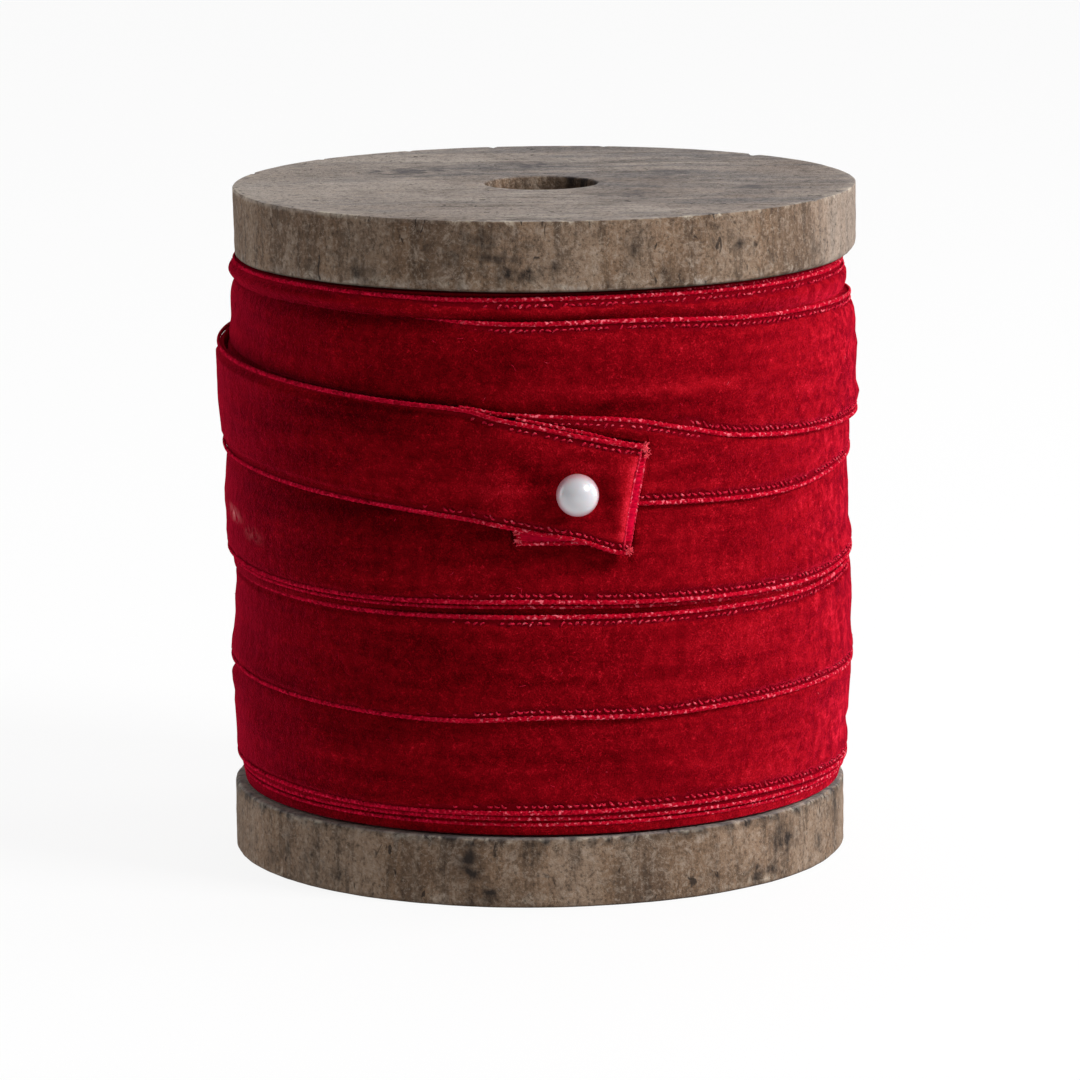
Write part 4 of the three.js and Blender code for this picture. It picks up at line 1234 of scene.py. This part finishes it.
def tail_stations():
    """Sections of the loose end: azimuth at its top and low edge, turn round the fold,
    and whether it is on the folded part."""
    reach = (HALF_STEP + RIBBON_THICK / 2 - GROUND_DEPTH) / TAIL_MM_PER_DEGREE
    end_low = FOLD_LINE[0][0] - reach
    end_top = FOLD_LINE[-1][0] - reach
    rows = [(a, a, 0, 0) for a in np.arange(TAIL_START - 0.35, TAIL_SLANT_FROM, 0.9)]
    for t in np.linspace(0, 1, 56):
        rows.append((between(TAIL_SLANT_FROM, end_top, t),
                     between(TAIL_SLANT_FROM, end_low, t), 0, 0))
    for t in np.linspace(0, 1, 14)[1:-1]:
        rows.append((end_top, end_low, math.pi * t, 0.5))
    for t in np.linspace(1, 0, 26):
        rows.append((between(UNDER_CUT_AZIMUTH, end_top, t),
                     between(UNDER_CUT_AZIMUTH, end_low, t), math.pi, 1))
    return np.array(rows)


def tail_edges(azimuth, under):
    top = curve_at(TAIL_TOP, azimuth)
    low = curve_at(TAIL_LOW, azimuth)
    fold_to_cut = FOLD_LINE[0][0] - UNDER_CUT_AZIMUTH
    away = np.clip(1 - (azimuth - UNDER_CUT_AZIMUTH) / fold_to_cut, 0, 1)
    share = np.minimum(1, away * UNDER_EASE) * (under == 1)
    return (top + UNDER_TOP_RISE * share,
            between(low, np.minimum(low, UNDER_LOW_HEIGHT), share))


# Dents in the loose end: azimuth, height, reach along and across in mm, lean, rise
TAIL_DENTS = [
    (PIN_AZIMUTH, PIN_HEIGHT, 3.1, 3.1, 0, -0.62),
    (-2.4, 53.3, 4.6, 1.1, -24, -0.36),
    (-9.0, 52.6, 5.0, 1.6, -12, 0.2),
    (10.6, 49.2, 1.8, 4.2, 8, -0.3),
    (13.6, 49.2, 1.3, 5.5, 8, 0.22),
    (1.0, 47.4, 5.0, 1.2, -10, 0.16),
    (-40, 54.5, 16, 2.2, -3, 0.1),
    (-66, 58.5, 9, 2.0, -3, -0.12),
    (-90, 57, 12, 4.5, 0, 0.28),
]


def shade_change(spots, azimuth, height):
    """The sum of soft leaning spots on the loose end at arrays of places."""
    total = np.zeros(np.broadcast(azimuth, height).shape)
    for spot_azimuth, spot_height, along, across, lean, change in spots:
        u = (azimuth - spot_azimuth) * TAIL_MM_PER_DEGREE
        v = height - spot_height
        c, s = math.cos(math.radians(lean)), math.sin(math.radians(lean))
        total += change * hump(u * c + v * s, 0, along) * hump(v * c - u * s, 0, across)
    return total


def tail_place(stations, place, depth):
    """Points of the loose end, in metres: depth is measured below its pile side."""
    top_a, low_a, turn, under = (stations[:, i:i + 1] for i in range(4))
    azimuth = between(top_a, low_a, place)
    top, low = tail_edges(azimuth, under)
    height = between(top, low, place)
    lift = ease((azimuth - LIFT_FROM) / (LIFT_TO - LIFT_FROM)) * (under < 1)
    middle = layer_radius(azimuth, place, lift)
    across = RIBBON_THICK / 2 - depth
    dents = shade_change(TAIL_DENTS, azimuth, height) * (under < 1)
    rest = np.where(under == 1, middle - across, middle + across)
    radial = middle - HALF_STEP + (HALF_STEP + across) * np.cos(turn)
    along = (HALF_STEP + across) * np.sin(turn)
    folding = (turn > 0) & (turn < math.pi)
    radial = np.where(folding, radial, rest) + dents * (1 - np.sin(turn) * 0.6)
    shift = np.degrees(np.where(folding, along, 0) / radial)
    return at(azimuth + shift, radial, height)


def tail_length_before_fold(stations):
    """Distance of each section from the fold's edge, along the ribbon, in mm."""
    centre = tail_place(stations, np.array([[0.5]]), RIBBON_THICK / 2)[:, 0, :]
    length = run_length(centre)
    folding = np.flatnonzero((stations[:, 2] > 0) & (stations[:, 2] < math.pi))
    return length - length[folding[len(folding) // 2]]


TAIL_OFFSETS = np.array([0, 0.1, 0.3, 0.55, 0.85, 1.15, 1.4, 1.65, 2.0])
TAIL_LUMPS = [(7, 21, 0.04), (2.6, 22, 0.02)]
EDGE_ROUND = 0.4
EDGE_ROUND_WIDE = 0.3
# How wide the pile parts over the fold, how much wider it bows, and over how many
# millimetres the pile slopes there
FOLD_BARE = 1.15
FOLD_BARE_BOW = 0.35
FOLD_SLOPE = 0.9
# Painted highlight on the pile where it rolls over the fold toward the light
FOLD_PAINTED_HIGHLIGHT = 0.34
FOLD_BEAD_PITCH = 0.45
TAIL_LIGHTER = 0.05
# The loose end comes out of the turn it belongs to over so many degrees, from so deep
TAIL_EMERGES = 5.0
TAIL_TUCK = 0.04
# Painted shade and light on the loose end's pile, dark in its dents' hollows: azimuth,
# height, reach along and across in millimetres, lean, change
TAIL_PAINTED_SHADE = [
    (-2.6, 53.2, 4.6, 1.2, -26, -0.2),
    (0.4, 51.2, 2.2, 2.2, -40, -0.14),
    (-8.5, 54.6, 4.5, 1.3, -14, 0.1),
    (5.7, 46.9, 3.0, 1.1, -4, -0.13),
    (11.2, 49.6, 1.1, 4.6, 10, -0.17),
    (7.0, 53.9, 5.0, 1.2, -9, 0.08),
    (-6.5, 50.4, 4.0, 1.6, -10, 0.08),
    (-18, 55.2, 7.5, 1.4, -8, -0.12),
    (-34, 57.6, 12, 1.3, -6, -0.08),
    (-52, 56.5, 10, 3.0, -4, -0.05),
    (-24, 51.5, 10, 1.6, -6, 0.07),
]


def fold_bare_width(place):
    """How wide the pile parts over the fold, widest below the ribbon's middle."""
    return FOLD_BARE + FOLD_BARE_BOW * np.sin(math.pi * np.clip(place, 0, 1) ** 1.4)


def tail_step(places):
    """How far the loose end stands above the turn that it comes from, and a little more."""
    turn = turn_radius("underTail", TAIL_START - 0.01, places)
    loose = layer_radius(TAIL_START + 0.01, places, 0) + RIBBON_THICK / 2
    return loose - turn + TAIL_TUCK


def ribbon_tail():
    stations = tail_stations()
    from_edge = TAIL_OFFSETS / RIBBON_WIDE
    middle = np.linspace(from_edge[-1], 1 - from_edge[-1], 16)[1:-1]
    places = np.concatenate([from_edge, middle, (1 - from_edge)[::-1]])[None, :]
    across = np.minimum(places, 1 - places) * RIBBON_WIDE
    from_fold = np.abs(tail_length_before_fold(stations))[:, None]
    beyond = from_fold - fold_bare_width(places)
    bare_fold = (beyond < 0.05) * 1.0
    bare = np.maximum(bare_at(across), bare_fold)
    slide = np.clip(beyond / FOLD_SLOPE, 0, 1)
    slope = 1 - np.sqrt(slide * (2 - slide))
    round_edge = EDGE_ROUND * (1 - np.clip(across / EDGE_ROUND_WIDE, 0, 1)) ** 2
    emerging = 1 - ease((stations[:, :1] - TAIL_START) / TAIL_EMERGES)
    depth = GROUND_DEPTH * np.maximum(bare, slope) + round_edge
    depth = depth + emerging * tail_step(places)
    lumps = unevenness(tail_place(stations, places, 0 * depth) / MM, TAIL_LUMPS)
    outside = tail_place(stations, places, depth - lumps * (1 - bare))
    inside = tail_place(stations, places, RIBBON_THICK - 0.06 - round_edge * 0.3)
    rings = np.concatenate([outside, inside[:, ::-1, :]], axis=1)
    count = rings.shape[1]
    half = count // 2
    k = np.arange(half - 1)
    start = np.stack([k + 1, k, count - 1 - k, count - 2 - k], axis=1)
    end = (len(stations) - 1) * count + start[:, [1, 0, 3, 2]]
    faces = np.concatenate([ring_faces(len(stations), count), start, end])
    azimuth = azimuth_of(rings)
    # Painted light and shade on the loose end, as on the roll
    painted_light_and_tone = painted_lightness(azimuth, rings[..., 2] / MM)
    painted_light_and_tone = painted_light_and_tone + TAIL_LIGHTER * ease((azimuth + 100) / 50)
    painted_light_and_tone[:, :half] += shade_change(TAIL_PAINTED_SHADE, azimuth[:, :half], rings[:, :half, 2] / MM)
    # Painted highlight where the pile rolls over the fold
    painted_light_and_tone[:, :half] += FOLD_PAINTED_HIGHLIGHT * hump(beyond, 0.35, 0.8) * (1 - bare)
    leaning = share_at(PILE_LEANS, azimuth[:, :half]) * PILE_LEAN
    seen_bare = np.maximum(bare_at(across + leaning), bare_fold)
    satin = bare_fold * (bare_at(across) < 0.5)
    underside = np.ones_like(satin)
    satin = np.concatenate([satin, underside], axis=1).ravel()
    marks = {
        "bare": np.concatenate([seen_bare, underside], axis=1),
        "painted_light_and_tone": painted_light_and_tone,
        "scuff": np.zeros_like(painted_light_and_tone),
        "sheen_mottle": share_at(SHEEN_MOTTLE, azimuth),
    }
    slots = satin[faces].mean(axis=1) > 0.5
    return mesh_piece("ribbon_loose_end", rings, faces[:, ::-1], [PILE, FOLD_SATIN],
                      marks, slots)


def tail_threads(seed):
    """Lips along both edges of the loose end, and stitches beside them."""
    draw = np.random.RandomState(seed)
    lips = Joined()
    stitches = Joined()
    stations = tail_stations()
    steps = len(stations) - 1
    stations = station_at(stations, np.linspace(0, steps, steps * 3 + 1), np.round)
    under = ease(stations[:, 2:3] / math.pi)
    for edge, inward in ((0, 1), (1, -1)):
        for across, deep in ((LIP_PLACE, LIP_DEPTH), (STITCH_PLACE, STITCH_DEPTH)):
            place = np.array([[edge + inward * across / RIBBON_WIDE]])
            near = np.array([[edge + inward * (across + 0.2) / RIBBON_WIDE]])
            depth = between(deep, RIBBON_THICK - LIP_DEPTH * 0.6, under)
            path = tail_place(stations, place, depth)[:, 0, :]
            out = unit(tail_place(stations, place, depth - 0.3)[:, 0, :] - path)
            toward = unit(path - tail_place(stations, near, depth)[:, 0, :])
            if across == LIP_PLACE:
                add_lip(lips, path, out, draw)
            else:
                add_stitches(stitches, path, out, toward, draw)
    return [lips.piece("loose_end_lips", SELVEDGE),
            stitches.piece("loose_end_stitches", STITCHING)]


def station_at(stations, spots, pick=np.floor):
    """Sections between the given ones, at fractional positions in their list."""
    rows = sampled(stations, np.arange(len(stations)), spots)
    rows[:, 3] = stations[pick(spots).astype(int), 3]
    return rows


def fold_lines(seed):
    """Fine beaded threads across the ribbon, on both sides of the bare fold."""
    draw = np.random.RandomState(seed)
    lines = Joined()
    stations = tail_stations()
    from_fold = tail_length_before_fold(stations)
    places = np.linspace(0.02, 0.98, 90)
    bare_from = -fold_bare_width(places)
    for size, distances in ((0.42, np.full_like(places, -0.12)), (0.46, bare_from)):
        rows = station_at(stations, np.interp(distances, from_fold, np.arange(len(stations))))
        path = tail_place(rows, places[:, None], GROUND_DEPTH - 0.05)[:, 0]
        out = unit(tail_place(rows, places[:, None], GROUND_DEPTH - 0.35)[:, 0] - path)
        turns = 2 * math.pi * run_length(path) / FOLD_BEAD_PITCH
        wave = 0.5 + 0.5 * np.cos(turns + draw.normal(size=len(path)) * 0.6)
        radii = size * (0.22 + 0.2 * wave)[:, None] * MM
        lines.add(*tube(path, out, radii, 6))
    return lines.piece("loose_end_fold_threads", STITCHING)


def surface_ways(azimuth, turn):
    """Unit vectors out of the roll, and along its surface at turn above level."""
    out = outward_at(np.array(azimuth))
    level = np.array([-out[1], out[0], 0])
    return out, level * math.cos(turn) + np.array([0, 0, 1.0]) * math.sin(turn)


# Short thread ends where the ribbon is cut or folded: azimuth, height, layer, way they
# point in the ribbon's plane in degrees above level to the right, spread in mm, count
FRAYED = [
    (17.8, 55.2, 1, 0, 0.3, 54),
    (17.9, 54.3, 1, 0, 0.16, 8),
    (14.8, 43.15, 1, -10, 0.2, 30),
    (-4.0, 44.3, 0, 185, 0.2, 26),
    (-4.2, 45.3, 0, 180, 0.25, 8),
]
FRAY_FAN = 17
FRAY_THICK = 0.095


def hair(joined, start, ways, long, thick, draw):
    """A short curled thread end; ways are out of the surface and its first direction."""
    out, along = ways
    across = np.cross(out, along)
    t = np.linspace(0, 1, 6)[:, None]
    curl = draw.normal() * 0.5
    lift = draw.uniform(0.05, 0.35)
    shape = along * t + across * curl * t * t + out * lift * t * (1.2 - t)
    line = start + MM * long * shape
    radii = thick * (1 - 0.5 * t) * MM
    joined.add(*tube(line, np.broadcast_to(out, line.shape), radii, 4))


def frays(seed):
    draw = np.random.RandomState(seed)
    ends = Joined()
    for azimuth, height, layer, way, spread, count in FRAYED:
        for _ in range(count):
            a = azimuth + draw.normal() * spread * 1.2
            z = height + draw.normal() * spread
            r = layer_radius(a, np.array(0.5), layer) + RIBBON_THICK / 2 - 0.1
            ways = surface_ways(a, math.radians(way + draw.normal() * FRAY_FAN))
            hair(ends, at(a, r, z), ways, draw.uniform(0.22, 0.4), FRAY_THICK, draw)
    return ends.piece("loose_end_frays", CUT_THREADS)


LINT_COUNT = 220
LINT_THICK = 0.035


def lint(seed):
    """Stray fibres that lie on the pile all round the roll."""
    draw = np.random.RandomState(seed)
    fibres = Joined()
    azimuth = draw.uniform(-175, 175, LINT_COUNT)
    height = draw.uniform(ROLL_LOW + 2, ROLL_TOP - 2, LINT_COUNT)
    for a, z, edges in zip(azimuth, height, edge_heights(azimuth)):
        k = int(np.searchsorted(-edges, -z)) - 1
        tall = edges[k] - edges[k + 1]
        if TURNS[k] == "underTail" or tall < 4:
            continue
        spot = [np.array([value]) for value in (a, (edges[k] - z) / tall, z, tall)]
        r, _ = surface_radius(TURNS[k], *spot)
        ways = surface_ways(a, draw.uniform(0, 2 * math.pi))
        hair(fibres, at(a, r[0] + 0.04, z), ways, draw.uniform(0.15, 0.8), LINT_THICK, draw)
    return fibres.piece("ribbon_stray_fibres", STITCHING)


# The pin


def pearl_pin():
    surface = layer_radius(PIN_AZIMUTH, np.array(0.5), 1) + RIBBON_THICK / 2
    centre = at(PIN_AZIMUTH, float(surface) + SEAT_GAP + PEARL_RADIUS, PIN_HEIGHT)
    meet = math.asin(PIN_SHANK_RADIUS / PEARL_RADIUS)
    profile = []
    for angle in np.linspace(0.0, math.pi, PEARL_ROWS + 1)[1:]:
        if angle < math.pi - meet:
            profile.append((PEARL_RADIUS * math.sin(angle), PEARL_RADIUS * math.cos(angle)))
    profile.append((PIN_SHANK_RADIUS, -PEARL_RADIUS * math.cos(meet)))
    profile.append((PIN_SHANK_RADIUS, PIN_TAPER - PIN_LENGTH))
    profile.append((0.02, -PIN_LENGTH))
    out, side = surface_ways(PIN_AZIMUTH, 0)
    turn = circle(PEARL_SIDES)[:, None]
    ring = np.cos(turn) * side + np.sin(turn) * np.array([0, 0, 1.0])
    rings = [r * ring + along * out for r, along in profile]
    spots = np.concatenate([[PEARL_RADIUS * out], *rings, [-PIN_LENGTH * out]])
    last = len(spots) - 1
    faces = (1 + ring_faces(len(rings), PEARL_SIDES)[:, ::-1]).tolist()
    for k in range(PEARL_SIDES):
        after = (k + 1) % PEARL_SIDES
        faces.append([0, 1 + k, 1 + after])
        faces.append([last - PEARL_SIDES + k, last, last - PEARL_SIDES + after])
    # Where the painted reflection of the velvet lies, round the pearl's rim and back
    velvet_reflection = ease((0.72 - spots @ out / PEARL_RADIUS) / 0.55)
    return mesh_piece("pearl_headed_pin", centre + spots * MM, faces, [PEARL], {"velvet_reflection": velvet_reflection})


# Building the pieces


def rides(piece, slot, *nodes):
    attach(piece, "root")
    if nodes:
        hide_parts(*nodes)
    return piece


rides(flange("spool_flange_bottom", FLANGE_LOW_RADIUS, 0, 0, BOTTOM_CORNER, 40),
      "spool_wood", "flange_bottom")
rides(flange("spool_flange_top", FLANGE_TOP_RADIUS, HEIGHT - FLANGE_THICK,
             FLANGE_TOP_SHIFT_X, TOP_CORNER, 60), "spool_wood", "flange_top")
rides(barrel(), "spool_wood", "barrel")
rides(ribbon_body(), "velvet", "ribbon_roll")
UPPER_EDGES = [
    ("upper", "top"), ("second", "top"), ("second", "low"), ("underTail", "top"),
    ("underTail", "low"), ("thirdUpper", "top"),
]
LOWER_EDGES = [
    ("thirdLower", "low"), ("fourth", "low"), ("fifth", "top"), ("fifth", "low"),
    ("sixth", "low"), ("innerLower", "low"),
]
for piece in selvedges("ribbon_upper", UPPER_EDGES, 71):
    rides(piece, "velvet")
for piece in selvedges("ribbon_lower", LOWER_EDGES, 72):
    rides(piece, "velvet")
rides(inner_lines(73), "velvet")
rides(lint(76), "velvet")
tail = rides(ribbon_tail(), "velvet", "ribbon_tail")
trims = [rides(piece, "velvet") for piece in (
    *tail_threads(74), fold_lines(75), frays(77))]
rides(pearl_pin(), "pearl", "pearl_pin")


# Stage: floor, light and camera


def floor():
    reach = 3.0
    corners = [(-reach, -reach, 0), (reach, -reach, 0), (reach, reach, 0), (-reach, reach, 0)]
    white = Shader("floor_white")
    white.set(Base_Color=(0.08, 0.08, 0.08, 1), Roughness=0.9, Specular_IOR_Level=0.1)
    white.set(Emission_Color=(1, 1, 1, 1), Emission_Strength=FLOOR_GLOW)
    piece = mesh_piece("floor", corners, [(0, 1, 2, 3)], [white.material], {})


def area_light(name, azimuth, elevation, distance, size, power):
    """A soft panel that faces the middle of the roll."""
    target = Vector(LIGHT_TARGET)
    turn = math.radians(azimuth)
    up = math.radians(elevation)
    way = Vector((math.cos(up) * math.sin(turn), -math.cos(up) * math.cos(turn), math.sin(up)))
    light = bpy.data.lights.new(name, "AREA")
    light.shape = "RECTANGLE"
    light.size, light.size_y = size
    light.energy = power
    lamp = bpy.data.objects.new(name, light)
    lamp.location = target + way * distance
    lamp.rotation_mode = "QUATERNION"
    lamp.rotation_quaternion = (-way).to_track_quat("-Z", "Y")
    bpy.context.scene.collection.objects.link(lamp)


def world():
    """A white backdrop whose light comes mostly from behind and from the right."""
    made = bpy.data.worlds.new("studio")
    made.use_nodes = True
    s = Shader(tree=made.node_tree)
    white = (1, 1, 1, 1)
    place = s.node("ShaderNodeTexCoord").outputs["Generated"]
    direction = s.node("ShaderNodeSeparateXYZ", {"Vector": place}).outputs
    back = s.limits(direction["Y"], *WORLD_BACK)
    light = s.total(back, s.limits(direction["X"], *WORLD_SIDE))
    soft = s.tree.nodes["Background"]
    soft.inputs["Color"].default_value = white
    s.tree.links.new(light, soft.inputs["Strength"])
    seen = s.node("ShaderNodeBackground", {"Strength": BACKDROP, "Color": white})
    mix = s.node("ShaderNodeMixShader", {
        "Fac": s.node("ShaderNodeLightPath").outputs["Is Camera Ray"],
        1: soft.outputs["Background"],
        2: seen.outputs["Background"],
    })
    s.tree.links.new(mix.outputs["Shader"], s.tree.nodes["World Output"].inputs["Surface"])
    bpy.context.scene.world = made


# What the panels face, in metres, the backdrop's and the floor's white, then how the
# backdrop's light grows: from and to of the direction's part along an axis, and the
# light there
LIGHT_TARGET = (0, 0.003, 0.042)
BACKDROP = 0.982
FLOOR_GLOW = 0.885
WORLD_BACK = (0.0, 0.9, 0.28, 1.0)
WORLD_SIDE = (0.2, 1.0, 0.0, 0.35)

CAMERA_LOOK = (-0.25, 2.82, 40.0)
CAMERA_DISTANCE = 784.0
CAMERA_ELEVATION = 10.03
CAMERA_ROLL = -0.506
FOCAL_PIXELS = 6351.0
PICTURE_PIXELS = 1080.0
CENTRE_PIXEL = (536.9, 520.9)
SENSOR = 36.0


def camera():
    data = bpy.data.cameras.new("camera")
    data.sensor_width = SENSOR
    data.lens = FOCAL_PIXELS / PICTURE_PIXELS * SENSOR
    data.shift_x = (PICTURE_PIXELS / 2 - CENTRE_PIXEL[0]) / PICTURE_PIXELS
    data.shift_y = (CENTRE_PIXEL[1] - PICTURE_PIXELS / 2) / PICTURE_PIXELS
    data.clip_start = 0.01
    data.clip_end = 20
    up = math.radians(CAMERA_ELEVATION)
    back = Vector((0, -math.cos(up), math.sin(up)))
    right = Vector((1, 0, 0))
    top = back.cross(right)
    roll = math.radians(CAMERA_ROLL)
    x_axis = math.cos(roll) * right + math.sin(roll) * top
    y_axis = math.cos(roll) * top - math.sin(roll) * right
    matrix = Matrix((x_axis, y_axis, back)).transposed().to_4x4()
    matrix.translation = (Vector(CAMERA_LOOK) + back * CAMERA_DISTANCE) * MM
    made = bpy.data.objects.new("camera", data)
    made.matrix_world = matrix
    bpy.context.scene.collection.objects.link(made)
    bpy.context.scene.camera = made


floor()
world()
area_light("key_light", 62, 38, 0.9, (0.28, 0.28), 8)
area_light("right_light", 108, 14, 0.9, (0.35, 0.6), 4)
area_light("left_light", -105, 12, 0.9, (0.3, 0.6), 1.2)
camera()
bpy.context.scene.view_settings.view_transform = "Standard"
